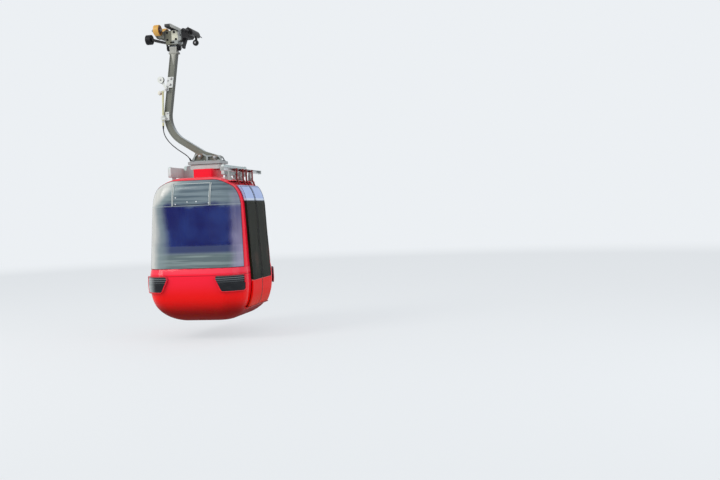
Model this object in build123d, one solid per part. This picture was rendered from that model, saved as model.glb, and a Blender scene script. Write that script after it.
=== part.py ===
from build123d import *
from collections import namedtuple
import math
import os

# A four seat ropeway cabin on its hanger and detachable rope grip.
# Millimetres. The origin is on the rope axis, in the middle of the grip.
# The rope runs along Y, the doors are on the +X side and +Z is up.

# Cabin body
body_half_width = 702.0
body_half_depth = 818.0
cabin_x = 154.0
wall = 30.0
glass = 7.0
seam = 0.3
running_gap = 5.0

# Stretches of the body from below to the roof, each with its sections. A section is its height,
# how much narrower and shorter it is than the widest, on each side, and its corner radius.
Section = namedtuple("Section", "z narrower shorter corner")
belly = (
    Section(-4045, 342, 378, 150),
    Section(-4000, 222, 258, 200),
    Section(-3930, 130, 156, 240),
    Section(-3820, 52, 68, 270),
    Section(-3690, 12, 18, 290),
    Section(-3540, 0, 0, 300),
)
skirt = (belly[-1], Section(-3395, 2, 0, 300))
shoulder = (skirt[-1], Section(-3300, 10, 43, 285))
side = (shoulder[-1], Section(-2450, 47, 113, 265))
crown = (
    side[-1],
    Section(-2300, 84, 136, 230),
    Section(-2190, 157, 176, 180),
    Section(-2120, 257, 226, 140),
    Section(-2065, 402, 328, 110),
)
lower_body = (belly, skirt, shoulder)
upper_body = (side, crown)
whole_body = lower_body + upper_body
roof_top = crown[-1].z

# Line where the side walls and the roof meet the end shells and their windows
Station = namedtuple("Station", "shorter z")
arch_line = (
    Station(218, -4300),
    Station(218, -3400),
    Station(230, -3300),
    Station(302, -2430),
    Station(287, -2215),
    Station(243, -2160),
    Station(243, -1900),
)
arch_corner_r = 60.0

# Doors, windows and bumpers
doorway_half = 372.0
door_half_length = 412.0
side_window_half = 402.0
side_window_bottom = -3505.0
side_window_top = -2205.0
roof_edge_z = -2165.0
sill_z = -3300.0
floor_top = -3860.0
floor_thickness = 20.0
belly_top = -3880.0
vent_half = 265.0
vent_bottom = -2437.0
vent_top = -2150.0
vent_bar_width = 22.0
vent_bar_height = 9.0
leaf_gap = 10.0
leaf_thickness = 24.0
leaf_top = -2190.0
leaf_bottom = -3872.0
leaf_border = 16.0
door_seal = 10.0
door_meeting_gap = 1.0
strap_y = (70.0, 330.0)
strap_width = 40.0
strap_thickness = 12.0
bumper_proud = 22.0
bumper_setback = 30.0
bumper_top = -3400.0
bumper_bottom = -3620.0
bumper_corner_r = 38.0
bumper_ridges = 4
bumper_ridge_pitch = 26.0
rail_half_length = 455.0
rail_height = 12.0

# Roof gear
block_half = 142.0
block_half_depth = 230.0
block_top = -1936.0
pad_half = 215.0
pad_half_depth = 150.0
pad_top = -1871.0
cradle_half = 240.0
cradle_half_depth = 170.0
cradle_bottom = -1865.0
cradle_top = -1825.0
cradle_edge_r = 10.0
side_plate_y = 62.0
side_plate_thickness = 12.0
side_plate_band = 18.0
cradle_pin_r = 13.0
cradle_boss_r = 36.0
bush_r = 26.0
cradle_pin_places = ((60.0, -1745.0), (285.0, -1772.0))
board_inner_inset = 332.0
board_width = 40.0
board_top = -1905.0
board_bottom = -2045.0
board_half_length = 475.0
board_hump = 52.0
track_inset = 222.0
track_width = 44.0
track_top = -1950.0
track_bottom = -2000.0
track_half_length = 800.0
track_wall = 5.0
carriage_r = 17.0
lip_inset = 180.0
lip_thickness = 8.0
lip_z = -2132.0
lip_half_length = 500.0

# Seats inside, one bench at each end
seat_top = -3450.0
seat_thickness = 60.0
seat_front_inset = 468.0
seat_gap = 8.0
back_top = -3030.0
back_thickness = 50.0
back_front_inset = 338.0
back_gap_x = 57.0
back_gap_y = 106.0
seat_radius = 262.0
bench_panel_thickness = 15.0
bench_panel_inset = 142.0

# Rope grip: jaws on the rope
rope_r = 20.0
jaw_half_length = 140.0
fixed_jaw_half_length = 95.0
jaw_split = 2.5
jaw_r = 68.0
jaw_under = -34.0
fixed_jaw_left = -120.0
fixed_jaw_top = 31.0
fixed_jaw_bottom = -60.0
hinge_x = -170.0
hinge_z = 20.0
hinge_r = 14.0
hinge_boss_r = 40.0
pin_clearance = 0.05
pin_end = 8.0
tongue_length = 180.0
tongue_root_r = 40.0
tongue_tip_r = 27.0

# Grip casting: two cheeks, an end plate and two lugs for the hanger pin
cheek_inner = 55.0
cheek_outer = 75.0
casting_left = -372.0
casting_top = 60.0
casting_bottom = -90.0
cheek_foot = -140.0
lug_thickness = 24.0
lug_boss_r = 38.0
top_web = 16.0

# Lever through the casting, with the roller that opens the grip
lever_half = 42.0
lever_end_x = -605.0
lever_z = -30.0
roller_r = 70.0
roller_width = 85.0
axle_r = 15.0
guide_r = 42.0
guide_width = 30.0
guide_x = 52.0
guide_z = -125.0
guide_axle_r = 10.0

# Spring housing and running wheels
bell_z = 8.0
bell_flange_r = 80.0
wheel_r = 77.0
wheel_width = 80.0
wheel_x = -463.0
wheel_y = wheel_r + 53.0
wheel_z = 66.0
wheel_recess = 9.0
carrier_thickness = 14.0

# Friction bar on top of the casting
bar_x = -262.0
bar_width = 84.0
bar_bottom = 78.0
bar_top = 124.0
bar_half_length = 250.0

# Hanger
pivot_x = -280.0
pivot_z = -180.0
pivot_r = 18.0
head_half_length = 54.0
head_r = 45.0
head_flange_half = 72.0
head_neck_bottom = -243.0
head_bottom = -262.0
arm_width = 92.0
arm_depth = 90.0
arm_top = (-280.0, -240.0)
arm_corner = (-455.0, -1360.0)
arm_end = (140.0, -1741.0)
arm_bend_r = 430.0
arm_edge = 11.0
arm_recess = 8.0
arm_foot_bottom = -1802.0

# Door operating gear on the front of the arm
gear_y = -72.0
gear_pivot = (-392.0, -765.0)
gear_pivot_r = 10.0
link_thickness = 10.0
link_half_width = 15.0
gear_plate_back = -57.0
gear_roller = (-473.0, -628.0)
gear_roller_r = 48.0
gear_knob = (-496.0, -813.0)
gear_knob_r = 27.0
rod_top = (-452.0, -788.0)
rod_bottom = (-472.0, -1285.0)
rod_r = 14.0
cable_r = 7.0
cable_points = (
    (-472, gear_y, -1285 - seam), (-474.7, gear_y, -1350.8), (-454, gear_y, -1428),
    (-409, gear_y, -1500), (-348, gear_y, -1566), (-275, gear_y, -1627),
    (-200, -77, -1678), (-141, -84, -1717), (-98, -91, -1753), (-70, -97, -1797),
)
gland_r = 14.0
gland_length = 60.0

parts = {}


def block(x, y, z):
    """A box between the low and high value of each pair."""
    size = [pair[1] - pair[0] for pair in (x, y, z)]
    centre = [(pair[1] + pair[0]) / 2 for pair in (x, y, z)]
    return Pos(*centre) * Box(*size)


def round_x(x, y, z, radius):
    """A round bar along X from x[0] to x[1]."""
    bar = Rot(0, 90, 0) * Cylinder(radius, x[1] - x[0])
    return Pos((x[0] + x[1]) / 2, y, z) * bar


def round_y(x, y, z, radius):
    """A round bar along Y from y[0] to y[1]."""
    bar = Rot(90, 0, 0) * Cylinder(radius, y[1] - y[0])
    return Pos(x, (y[0] + y[1]) / 2, z) * bar


def round_z(x, y, z, radius):
    """A round bar along Z from z[0] to z[1]."""
    return Pos(x, y, (z[0] + z[1]) / 2) * Cylinder(radius, z[1] - z[0])


def plate_xz(points, y):
    """A flat plate with an outline in X and Z, from y[0] to y[1]."""
    outline = Polyline(*[(x, 0, z) for x, z in points], close=True)
    face = make_face(outline)
    return Pos(0, (y[0] + y[1]) / 2, 0) * extrude(face, (y[1] - y[0]) / 2, both=True)


def plate_yz(points, x):
    """A flat plate with an outline in Y and Z, from x[0] to x[1]."""
    outline = Polyline(*[(0, y, z) for y, z in points], close=True)
    face = make_face(outline)
    return Pos((x[0] + x[1]) / 2, 0, 0) * extrude(face, (x[1] - x[0]) / 2, both=True)


def both_sides(y):
    """The range of a pair of like pieces, at -Y and at +Y."""
    return (-y[1], -y[0]), y


def inset_section(stretch, index, inset):
    """A section moved inwards along the surface, and at belly and roof also up or down."""
    here = stretch[index]
    across, up = 1.0, 0.0
    if stretch is belly and index == 0:
        across, up = 0.5, -1.0
    elif stretch is crown and index == len(stretch) - 1:
        across, up = 0.5, 1.0
    elif 0 < index < len(stretch) - 1:
        rise = stretch[index + 1].z - stretch[index - 1].z
        widening = stretch[index - 1].narrower - stretch[index + 1].narrower
        across = rise / math.hypot(rise, widening)
        up = -widening / math.hypot(rise, widening)
    side_inset = inset * across
    outline = RectangleRounded(2 * (body_half_width - here.narrower - side_inset),
                               2 * (body_half_depth - here.shorter - side_inset),
                               here.corner - side_inset)
    return Pos(cabin_x, 0, here.z - inset * up) * outline


forms = {}


def form(stretch, inset):
    """One stretch of the body as a solid, smaller all round by the inset."""
    key = (stretch, inset)
    if key not in forms:
        sections = [inset_section(stretch, index, inset) for index in range(len(stretch))]
        forms[key] = loft(sections, ruled=len(stretch) == 2)
    return forms[key]


skins = {}


def skin(stretch, outside, inside):
    """The wall of one stretch between two insets."""
    key = (stretch, outside, inside)
    if key not in skins:
        skins[key] = form(stretch, outside) - form(stretch, inside)
    return skins[key]


def panel(stretches, outside, inside, region):
    """A body panel: the wall of some stretches within a region."""
    pieces = None
    for stretch in stretches:
        piece = skin(stretch, outside, inside) & region
        if piece.volume > 1:
            pieces = piece if pieces is None else pieces + piece
    return pieces


def tub(half_width, half_depth, radius, z):
    """A block with rounded corners that fits inside the cabin, from z[0] to z[1]."""
    outline = RectangleRounded(2 * half_width, 2 * half_depth, radius)
    return Pos(cabin_x, 0, z[0]) * extrude(outline, z[1] - z[0])


def band(y, z, x=(-2000, 2000)):
    """A box in cabin coordinates that cuts a panel out of the body."""
    return block((cabin_x + x[0], cabin_x + x[1]), y, z)


def middle(grow, x=(-2000, 2000)):
    """The space between the two arches, which stand where side walls and end shells meet."""
    points = [(body_half_depth - place.shorter + grow, place.z) for place in arch_line]
    outline = points + [(-y, z) for y, z in reversed(points)]
    space = plate_yz(outline, (cabin_x + x[0], cabin_x + x[1]))
    low, high = arch_line[4].z - 1, arch_line[5].z + 1
    bends = [edge for edge in space.edges().filter_by(Axis.X) if low < edge.center().Z < high]
    return fillet(bends, arch_corner_r)


def mirrored(shape):
    """The same shape at the other end of the cabin."""
    return mirror(shape, about=Plane.XZ)


def keep(name, shape):
    """One named piece."""
    parts[name] = shape


# Grip casting with cheeks, fixed jaw, the lugs of the hanger pin and the rope catcher
right_lug_x = 2 * pivot_x - casting_left


def grip_body():
    cheek = ((casting_left, casting_top), (-205, casting_top), (-170, hinge_z + hinge_boss_r),
             (-135, 48), (fixed_jaw_left + 10, fixed_jaw_top), (fixed_jaw_left + 10, fixed_jaw_bottom),
             (-168, casting_bottom), (right_lug_x, casting_bottom), (right_lug_x, cheek_foot),
             (casting_left + 20, cheek_foot), (casting_left, casting_bottom))
    body = None
    for y in both_sides((cheek_inner, cheek_outer)):
        side_plate = plate_xz(cheek, y)
        side_plate -= block((-305, -240), (y[0] - 1, y[1] + 1), (-118, -95))
        body = side_plate if body is None else body + side_plate
    body += block((casting_left, -235), (-cheek_outer, cheek_outer), (casting_top - top_web, casting_top))
    drop = pivot_z - lug_boss_r / 4
    for x, top in ((casting_left, casting_top), (right_lug_x - lug_thickness, casting_bottom + 10)):
        reach = (x, x + lug_thickness)
        body += plate_yz(((-cheek_outer, top), (cheek_outer, top), (cheek_outer, -110), (36, drop),
                          (-36, drop), (-cheek_outer, -110)), reach)
        body += round_x(reach, 0, pivot_z, lug_boss_r)
    body -= block((casting_left - 1, casting_left + lug_thickness + 1), (-48, 48), (-145, -60))
    jaw = plate_xz(((fixed_jaw_left, fixed_jaw_top), (-jaw_split, fixed_jaw_top),
                    (-jaw_split, jaw_under), (-24, fixed_jaw_bottom), (fixed_jaw_left, fixed_jaw_bottom)),
                   (-fixed_jaw_half_length, fixed_jaw_half_length))
    catcher = plate_xz(((-118, fixed_jaw_bottom + 5), (-74, fixed_jaw_bottom + 5), (-92, -105),
                        (-110, -150), (-120, -192), (-150, -192), (-146, -140), (-132, -90)), (-28, 28))
    body += jaw + fillet(catcher.edges().filter_by(Axis.Y).sort_by(Axis.Z)[:2], 10)
    body -= round_y(0, (-200, 200), 0, rope_r)
    body -= round_y(hinge_x, (-200, 200), hinge_z, hinge_r)
    return body - round_x((casting_left - 10, right_lug_x + 10), 0, pivot_z, pivot_r)


def hinge_pin():
    reach = cheek_outer + pin_end
    return round_y(hinge_x, (-reach, reach), hinge_z, hinge_r)


def hanger_pin():
    nut = 12
    pin = round_x((casting_left - nut, right_lug_x + nut), 0, pivot_z, pivot_r)
    for x in (casting_left - nut, right_lug_x):
        hexagon = Rot(0, 90, 0) * extrude(RegularPolygon(pivot_r + 10, 6), nut)
        pin += Pos(x, 0, pivot_z) * hexagon
    return pin


# Spring housing with the bracket that carries the two running wheels
def spring_housing():
    flange_x = casting_left - seam
    half_section = Polyline((-512, 0), (-512, 38), (-504, 45), (-462, 48), (-423, 57), (-398, 68),
                            (flange_x - 20, 74), (flange_x - 20, bell_flange_r),
                            (flange_x, bell_flange_r), (flange_x, 0), close=True)
    bell = Pos(0, 0, bell_z) * revolve(Plane.XZ * make_face(half_section), Axis.X)
    inner_face = wheel_x - wheel_width / 2 - running_gap
    carrier_x = (inner_face - carrier_thickness, inner_face)
    half = wheel_y + 30
    carrier = plate_yz(((-40, -28), (40, -28), (half, wheel_z - 30), (half, wheel_z + 28),
                        (-half, wheel_z + 28), (-half, wheel_z - 30)), carrier_x)
    carrier = fillet(carrier.edges().filter_by(Axis.X), 12)
    housing = bell + carrier
    for y in (-wheel_y, wheel_y):
        housing += round_x((carrier_x[0] - 10, wheel_x + wheel_width / 2 + 4), y, wheel_z, axle_r)
        housing += round_x((carrier_x[0] - 10, carrier_x[0]), y, wheel_z, axle_r + 8)
    return housing


def roller_shape(x, y, z, radius, recess):
    """A roller along X with rounded rims and a shallow recess in each face."""
    roller = round_x(x, y, z, radius)
    roller = fillet(roller.edges().filter_by(GeomType.CIRCLE), 8)
    for face_x in (x[0], x[1]):
        ring_x = (face_x - recess, face_x + recess)
        ring = round_x(ring_x, y, z, radius - 18) - round_x(ring_x, y, z, axle_r + 14)
        roller -= ring
    return roller - round_x((x[0] - 5, x[1] + 5), y, z, axle_r + pin_clearance)


def running_wheel(end):
    x = (wheel_x - wheel_width / 2, wheel_x + wheel_width / 2)
    return roller_shape(x, end * wheel_y, wheel_z, wheel_r, wheel_recess)


# Lever with the moving jaw, worked by the outer roller
def grip_lever():
    outline = (
        (lever_end_x, lever_z + 22), (-535, -38), (-400, -78), (-300, -78), (-226, 14), (-200, 47),
        (hinge_x, hinge_z + hinge_boss_r), (-100, 74), (0, 74), (0, 37), (-128, 37), (-131, 4),
        (-142, -22), (-205, -58), (-300, -108), (-400, -108), (-540, -74), (lever_end_x, lever_z - 22),
    )
    lever = plate_xz(outline, (-lever_half, lever_half))
    jaw = round_y(0, (-jaw_half_length, jaw_half_length), 0, jaw_r)
    jaw -= block((-100, jaw_split), (-200, 200), (-100, 37))
    jaw -= block((-100, 100), (-200, 200), (-100, jaw_under))
    lever += jaw
    lever -= round_y(0, (-200, 200), 0, rope_r)
    lever -= round_y(hinge_x, (-200, 200), hinge_z, hinge_r + pin_clearance)
    lever += round_x((lever_end_x - roller_width - 15, lever_end_x + 10), 0, lever_z, axle_r)
    lever += round_z(-55, 0, (60, 108), 9)
    bracket_y = (guide_width / 2 + 6, guide_width / 2 + 22)
    bracket = plate_xz(((guide_x - 18, -20), (guide_x + 6, -20), (guide_x + 18, guide_z),
                        (guide_x + 10, guide_z - 18), (guide_x - 10, guide_z - 18),
                        (guide_x - 18, guide_z)), bracket_y)
    stub = round_y(guide_x, (-guide_width / 2 - 8, guide_width / 2 + 10), guide_z, guide_axle_r)
    return lever + bracket + stub


def rope_tongues():
    tongues = []
    for end in (-1, 1):
        start = end * (jaw_half_length + seam)
        cone = Rot(-90 * end, 0, 0) * Cone(tongue_root_r, tongue_tip_r, tongue_length)
        tongue = Pos(0, start + end * tongue_length / 2, 0) * cone
        tongue -= round_y(0, (-400, 400), 0, rope_r + 3)
        tongue &= block((-100, 100), (-400, 400), (2, 100))
        tongues.append(tongue)
    return Compound(tongues)


def lever_roller():
    x = (lever_end_x - running_gap - roller_width, lever_end_x - running_gap)
    return roller_shape(x, 0, lever_z, roller_r, wheel_recess)


def guide_roller():
    y = (-guide_width / 2, guide_width / 2)
    roller = round_y(guide_x, y, guide_z, guide_r)
    roller = fillet(roller.edges().filter_by(GeomType.CIRCLE), 5)
    return roller - round_y(guide_x, (y[0] - 5, y[1] + 5), guide_z, guide_axle_r + pin_clearance)


def friction_plate():
    x = (bar_x - bar_width / 2, bar_x + bar_width / 2)
    plate = block(x, (-bar_half_length, bar_half_length), (bar_bottom, bar_top))
    plate = fillet(plate.edges().filter_by(Axis.X), 18)
    for y in both_sides((cheek_inner + 2, cheek_outer - 2)):
        plate += block((bar_x - 30, bar_x + 30), y, (casting_top + seam, bar_bottom + 5))
    return plate


# Hanger: pivot head, box section arm bent over the cabin, and its foot
def hanger_head():
    boss = round_x((pivot_x - head_half_length, pivot_x + head_half_length), 0, pivot_z, head_r)
    half = head_half_length - 4
    neck = block((pivot_x - half, pivot_x + half), (-44, 44), (head_neck_bottom - 5, pivot_z))
    flange = block((pivot_x - head_flange_half, pivot_x + head_flange_half), (-45, 45),
                   (head_bottom, head_neck_bottom))
    head = boss + neck + fillet(flange.edges().filter_by(Axis.Z), 12)
    return head - round_x((pivot_x - 80, pivot_x + 80), 0, pivot_z, pivot_r + pin_clearance)


def hanger_arm():
    start = (arm_top[0], 0, arm_top[1])
    corner = (arm_corner[0], 0, arm_corner[1])
    end = (arm_end[0], 0, arm_end[1])
    path = FilletPolyline(start, corner, end, radius=arm_bend_r)
    lean = Vector(*corner) - Vector(*start)
    across = Plane(origin=start, x_dir=(0, 1, 0), z_dir=lean)
    arm = sweep(across * Rectangle(arm_depth, arm_width), path=path)
    for y in (-arm_depth / 2, arm_depth / 2):
        groove = across * Pos(y, 0) * Rectangle(2 * arm_recess, arm_width - 2 * arm_edge)
        arm -= sweep(groove, path=path)
    foot_outline = ((-75, arm_foot_bottom), (345, arm_foot_bottom), (345, -1762), (300, -1735),
                    (150, -1685), (20, -1635))
    arm += plate_xz(foot_outline, (-arm_depth / 2, arm_depth / 2))
    arm &= block((-600, 600), (-100, 100), (arm_foot_bottom, head_bottom - seam))
    for x, z in cradle_pin_places:
        arm -= round_y(x, (-100, 100), z, bush_r + seam)
    return arm


def hanger_bushes():
    bushes = []
    for x, z in cradle_pin_places:
        bush = round_y(x, (-50, 50), z, bush_r)
        bushes.append(bush - round_y(x, (-60, 60), z, cradle_pin_r + seam))
    return Compound(bushes)


def cradle_side(y):
    """A bow shaped band with a boss round each pin and open windows between them."""
    low = cradle_top - 5
    left, right = cabin_x - cradle_half + 30, cabin_x + cradle_half
    outline = ((left, low), (left + 22, -1745), (10, -1706), (110, -1706), (165, -1738),
               (320, -1738), (360, -1758), (right, low))
    plate = plate_xz(outline, y)
    window_low = cradle_top + side_plate_band
    left_window = ((left + 24, window_low), (left + 42, -1750), (20, -1706 - side_plate_band),
                   (100, -1706 - side_plate_band), (152, -1752), (152, window_low))
    right_window = ((182, window_low), (182, -1738 - side_plate_band), (312, -1738 - side_plate_band),
                    (344, -1772), (right - 26, window_low))
    for window in (left_window, right_window):
        plate -= plate_xz(window, (y[0] - 1, y[1] + 1))
    for x, z in cradle_pin_places:
        plate += round_y(x, y, z, cradle_boss_r)
    return plate


def suspension_cradle():
    base = block((cabin_x - cradle_half, cabin_x + cradle_half),
                 (-cradle_half_depth, cradle_half_depth), (cradle_bottom, cradle_top))
    cradle = fillet(base.edges().filter_by(Axis.Z), cradle_edge_r)
    half = side_plate_thickness / 2
    for y in both_sides((side_plate_y - half, side_plate_y + half)):
        cradle += cradle_side(y)
    for x, z in cradle_pin_places:
        cradle -= round_y(x, (-100, 100), z, cradle_pin_r + pin_clearance)
    return cradle


def cradle_pins():
    pins = []
    reach = side_plate_y + side_plate_thickness / 2 + pin_end
    for x, z in cradle_pin_places:
        pins.append(round_y(x, (-reach, reach), z, cradle_pin_r))
    return Compound(pins)


# Door operating gear on the arm: bracket, lever with its roller, rod, guide and cable
def arm_x(z):
    """The middle of the arm at a height in its straight part or at the start of its bend."""
    lean = Vector(arm_corner[0] - arm_top[0], arm_corner[1] - arm_top[1])
    fall = Vector(arm_end[0] - arm_corner[0], arm_end[1] - arm_corner[1])
    tangent = arm_bend_r * math.tan(math.radians(lean.get_angle(fall)) / 2)
    bend_z = arm_corner[1] - tangent * lean.Y / lean.length
    straight = arm_top[0] + (z - arm_top[1]) * lean.X / lean.Y
    return straight + max(0, bend_z - z) ** 2 / (2 * arm_bend_r)


def arm_plate(half, y, bottom, top):
    """A plate that follows the lean of the arm."""
    corners = ((arm_x(top) - half, top), (arm_x(top) + half, top),
               (arm_x(bottom) + half, bottom), (arm_x(bottom) - half, bottom))
    return plate_xz(corners, y)


def lever_bracket():
    top, bottom = -590, -742
    face = -arm_depth / 2 - seam
    plate = arm_plate(arm_width / 2, (gear_plate_back, face), bottom, top)
    tongue = block((gear_pivot[0] - 20, gear_pivot[0] + 22), (gear_plate_back, face),
                   (gear_pivot[1] - 22, bottom + 5))
    plate = fillet(plate.edges().filter_by(Axis.Y), 6) + tongue
    return plate + round_y(gear_pivot[0], (gear_y - 8, gear_plate_back + 5), gear_pivot[1], gear_pivot_r)


def link(start, end, half_width, y):
    """A flat bar with round ends between two pivots."""
    direction = Vector(end[0] - start[0], 0, end[1] - start[1])
    across = direction.normalized().cross(Vector(0, 1, 0)) * half_width
    corners = [(place[0] + sign * across.X, place[1] + sign * across.Z)
               for place, sign in ((start, 1), (end, 1), (end, -1), (start, -1))]
    bar = plate_xz(corners, y)
    for place in (start, end):
        bar += round_y(place[0], y, place[1], half_width)
    return bar


def door_lever():
    y = (gear_y - link_thickness / 2, gear_y + link_thickness / 2)
    lever = link(gear_pivot, gear_roller, link_half_width + 2, y)
    lever += link(gear_pivot, gear_knob, link_half_width, y)
    lever += round_y(gear_roller[0], (gear_y - 22, gear_y + 14), gear_roller[1], gear_roller_r)
    lever += round_y(gear_knob[0], (gear_y - 22, gear_y + 12), gear_knob[1], gear_knob_r)
    return lever - round_y(gear_pivot[0], (gear_y - 60, gear_y + 60), gear_pivot[1], gear_pivot_r + seam)


def rod_line():
    """Start and end of the rod, whose forked top holds the lever."""
    return Vector(rod_top[0], gear_y, rod_top[1]), Vector(rod_bottom[0], gear_y, rod_bottom[1])


def door_rod():
    start, end = rod_line()
    direction = end - start
    rod = Plane(origin=start, z_dir=direction) * Cylinder(
        rod_r, direction.length, align=(Align.CENTER, Align.CENTER, Align.MIN))
    half = link_thickness / 2 + seam
    return rod - link(gear_pivot, gear_knob, link_half_width + seam, (gear_y - half, gear_y + half))


def rod_guide():
    top, bottom = -1085, -1204
    half = arm_width / 2 - arm_edge - 5
    plate = arm_plate(half, (gear_plate_back, arm_recess - arm_depth / 2 - seam), bottom, top)
    eye = block((rod_bottom[0] - 20, arm_x(bottom) - half + 12), (gear_y - 24, gear_plate_back + 5),
                (bottom + 8, bottom + 42))
    start, end = rod_line()
    lean = Plane(origin=start, z_dir=end - start)
    return plate + eye - lean * Cylinder(rod_r + seam, 1200)


def bend_radii(points):
    """The largest arc at each corner that leaves some straight on both runs."""
    radii = []
    for before, here, after in zip(points, points[1:], points[2:]):
        run_in = Vector(*here) - Vector(*before)
        run_out = Vector(*after) - Vector(*here)
        turn = math.radians(run_in.get_angle(run_out))
        radii.append(0.45 * min(run_in.length, run_out.length) / math.tan(turn / 2))
    return radii


def door_cable():
    radii = bend_radii(cable_points)
    print("cable radii", [round(radius) for radius in radii])
    path = FilletPolyline(*cable_points, radius=radii)
    start = Vector(*cable_points[0])
    direction = Vector(*cable_points[1]) - start
    section = Plane(origin=start, z_dir=direction) * Circle(cable_r)
    cable = sweep(section, path=path)
    print("cable length", round(path.length), "volume ratio",
          round(cable.volume / (path.length * math.pi * cable_r ** 2), 4))
    return cable


def cable_gland():
    end = Vector(*cable_points[-1])
    direction = end - Vector(*cable_points[-2])
    start = end + direction.normalized() * seam
    gland = Plane(origin=start, z_dir=direction) * Cylinder(
        gland_r, gland_length, align=(Align.CENTER, Align.CENTER, Align.MIN))
    return gland & block((-500, 500), (-500, 500), (cradle_top + seam, 0))


# Cabin body panels
def roof_panel():
    region = middle(0) & band((-2000, 2000), (roof_edge_z + seam, -1900))
    roof = panel((crown,), 0, wall, region)
    lip = block((cabin_x, cabin_x + body_half_width - lip_inset), (-lip_half_length, lip_half_length),
                (lip_z, lip_z + lip_thickness))
    return roof + (lip - form(crown, wall / 2))


def end_shell(end):
    y = sorted((end * 200, end * 2000))
    shell = panel(lower_body, 0, wall, band(y, (belly_top + seam, sill_z - seam)))
    return shell - middle(seam)


def belly_pan():
    return panel((belly,), 0, wall, band((-2000, 2000), (-4200, belly_top)))


def floor_panel():
    z = (floor_top - floor_thickness + seam, floor_top)
    return form(belly, wall + seam) & band((-2000, 2000), z)


def side_wall(place):
    x = sorted((place * 200, place * 2000))
    region = middle(0, x) & band((-2000, 2000), (belly_top + seam, roof_edge_z))
    wall_panel = panel(whole_body, 0, wall, region)
    if place > 0:
        hole = band((-doorway_half, doorway_half), (floor_top, side_window_top), x)
    else:
        hole = band((-side_window_half, side_window_half), (side_window_bottom, side_window_top), x)
    return wall_panel - hole


def side_pane():
    region = band((-side_window_half + seam, side_window_half - seam),
                  (side_window_bottom + seam, side_window_top - seam), (-2000, -200))
    return panel(whole_body, 0, glass, region)


def end_pane(end):
    y = sorted((end * 200, end * 2000))
    sheet = panel(upper_body, 0, glass, band(y, (sill_z + seam, -1900))) - middle(seam)
    return sheet - band(y, (vent_bottom, vent_top), (-vent_half, vent_half))


def vent_flap(end):
    y = sorted((end * 200, end * 2000))
    region = band(y, (vent_bottom + seam, vent_top - seam), (-vent_half + seam, vent_half - seam))
    return panel(upper_body, 0, glass, region) - middle(seam)


def vent_frame(end):
    y = sorted((end * 200, end * 2000))
    frame = None
    for place in (-1, 1):
        x = sorted((place * (vent_half - 8), place * (vent_half - 8 + vent_bar_width)))
        region = band(y, (vent_bottom - 60, vent_top + 6), x)
        bar = panel(upper_body, -vent_bar_height, -seam, region) - middle(seam)
        frame = bar if frame is None else frame + bar
    return frame


def bumper(end, place):
    y = sorted((end * 200, end * 2000))
    edge = body_half_depth - arch_line[1].shorter + bumper_setback
    ring = panel((belly, skirt), -bumper_proud, -seam, band(y, (bumper_bottom, bumper_top)))
    front = ((320, bumper_top), (1000, bumper_top), (1000, bumper_bottom), (424, bumper_bottom))
    front = plate_xz([(cabin_x + place * x, z) for x, z in front], y)
    inner = [corner for corner in front.edges().filter_by(Axis.Y)
             if place * (corner.center().X - cabin_x) < 900]
    ring &= fillet(inner, bumper_corner_r)
    end_side = ((end * edge, bumper_bottom), (end * edge, bumper_top),
                (end * 2000, bumper_top), (end * 2000, bumper_bottom))
    side_cut = plate_yz(end_side, (-2000, 2000))
    edges = [corner for corner in side_cut.edges().filter_by(Axis.X) if abs(corner.center().Y) < 1500]
    ring &= fillet(edges, bumper_corner_r)
    for number in range(bumper_ridges):
        z = bumper_top - 22 - number * bumper_ridge_pitch
        ring -= panel((skirt, belly), -bumper_proud - 5, -bumper_proud + 6, band(y, (z - 5, z + 5)))
    return ring


# Sliding door leaves on the +X side
def door_panel(outside, inside, y, z):
    return panel(whole_body, -outside, -inside, band(y, z, (200, 2000)))


def leaf_hole(grow):
    y = (door_seal + leaf_border - grow, door_half_length - leaf_border + grow)
    return y, (side_window_bottom - grow, side_window_top - 2 + grow)


def door_leaf():
    outside = leaf_gap + leaf_thickness
    leaf = door_panel(outside, leaf_gap, (door_seal, door_half_length), (leaf_bottom, leaf_top))
    hole_y, hole_z = leaf_hole(0)
    leaf -= band(hole_y, hole_z, (200, 2000))
    for y in strap_y:
        leaf += leaf_hanger(y)
    return leaf


def leaf_hanger(y):
    """A strap from the top of the leaf up past the track, with its roller in the track."""
    track_x = cabin_x + body_half_width - track_inset
    outer = track_x + track_width + running_gap + 4
    foot = cabin_x + body_half_width - crown[2].narrower + leaf_gap + 4
    roller_z = track_bottom + track_wall + carriage_r + seam
    top = roller_z + 22
    thick = strap_thickness
    strap = plate_xz(((foot + 10, leaf_top - 14), (foot + 10 + thick, leaf_top - 14),
                      (foot + thick, lip_z - 30), (outer + thick, lip_z + 30), (outer + thick, top),
                      (outer, top), (outer, lip_z + 26), (foot, lip_z - 36)),
                     (y - strap_width / 2, y + strap_width / 2))
    axle = round_x((track_x + track_width - 20, outer + 4), y, roller_z, 8)
    carriage = round_x((track_x + track_wall + 2, track_x + track_width - 8), y, roller_z, carriage_r)
    return strap + axle + carriage


def door_glass():
    outside = leaf_gap + leaf_thickness
    hole_y, hole_z = leaf_hole(-seam)
    return door_panel(outside, outside - glass, hole_y, hole_z)


def door_rubber():
    return door_panel(leaf_gap + leaf_thickness, leaf_gap, (door_meeting_gap, door_seal - seam),
                      (leaf_bottom, leaf_top))


roof_form = form(crown, -seam)


def door_track():
    x = (cabin_x + body_half_width - track_inset, cabin_x + body_half_width - track_inset + track_width)
    y = (-track_half_length, track_half_length)
    track = block(x, y, (track_bottom, track_top))
    return track - block((x[0] + track_wall, x[1] + 5), (y[0] - 5, y[1] + 5),
                         (track_bottom + track_wall, track_top - track_wall))


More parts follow.
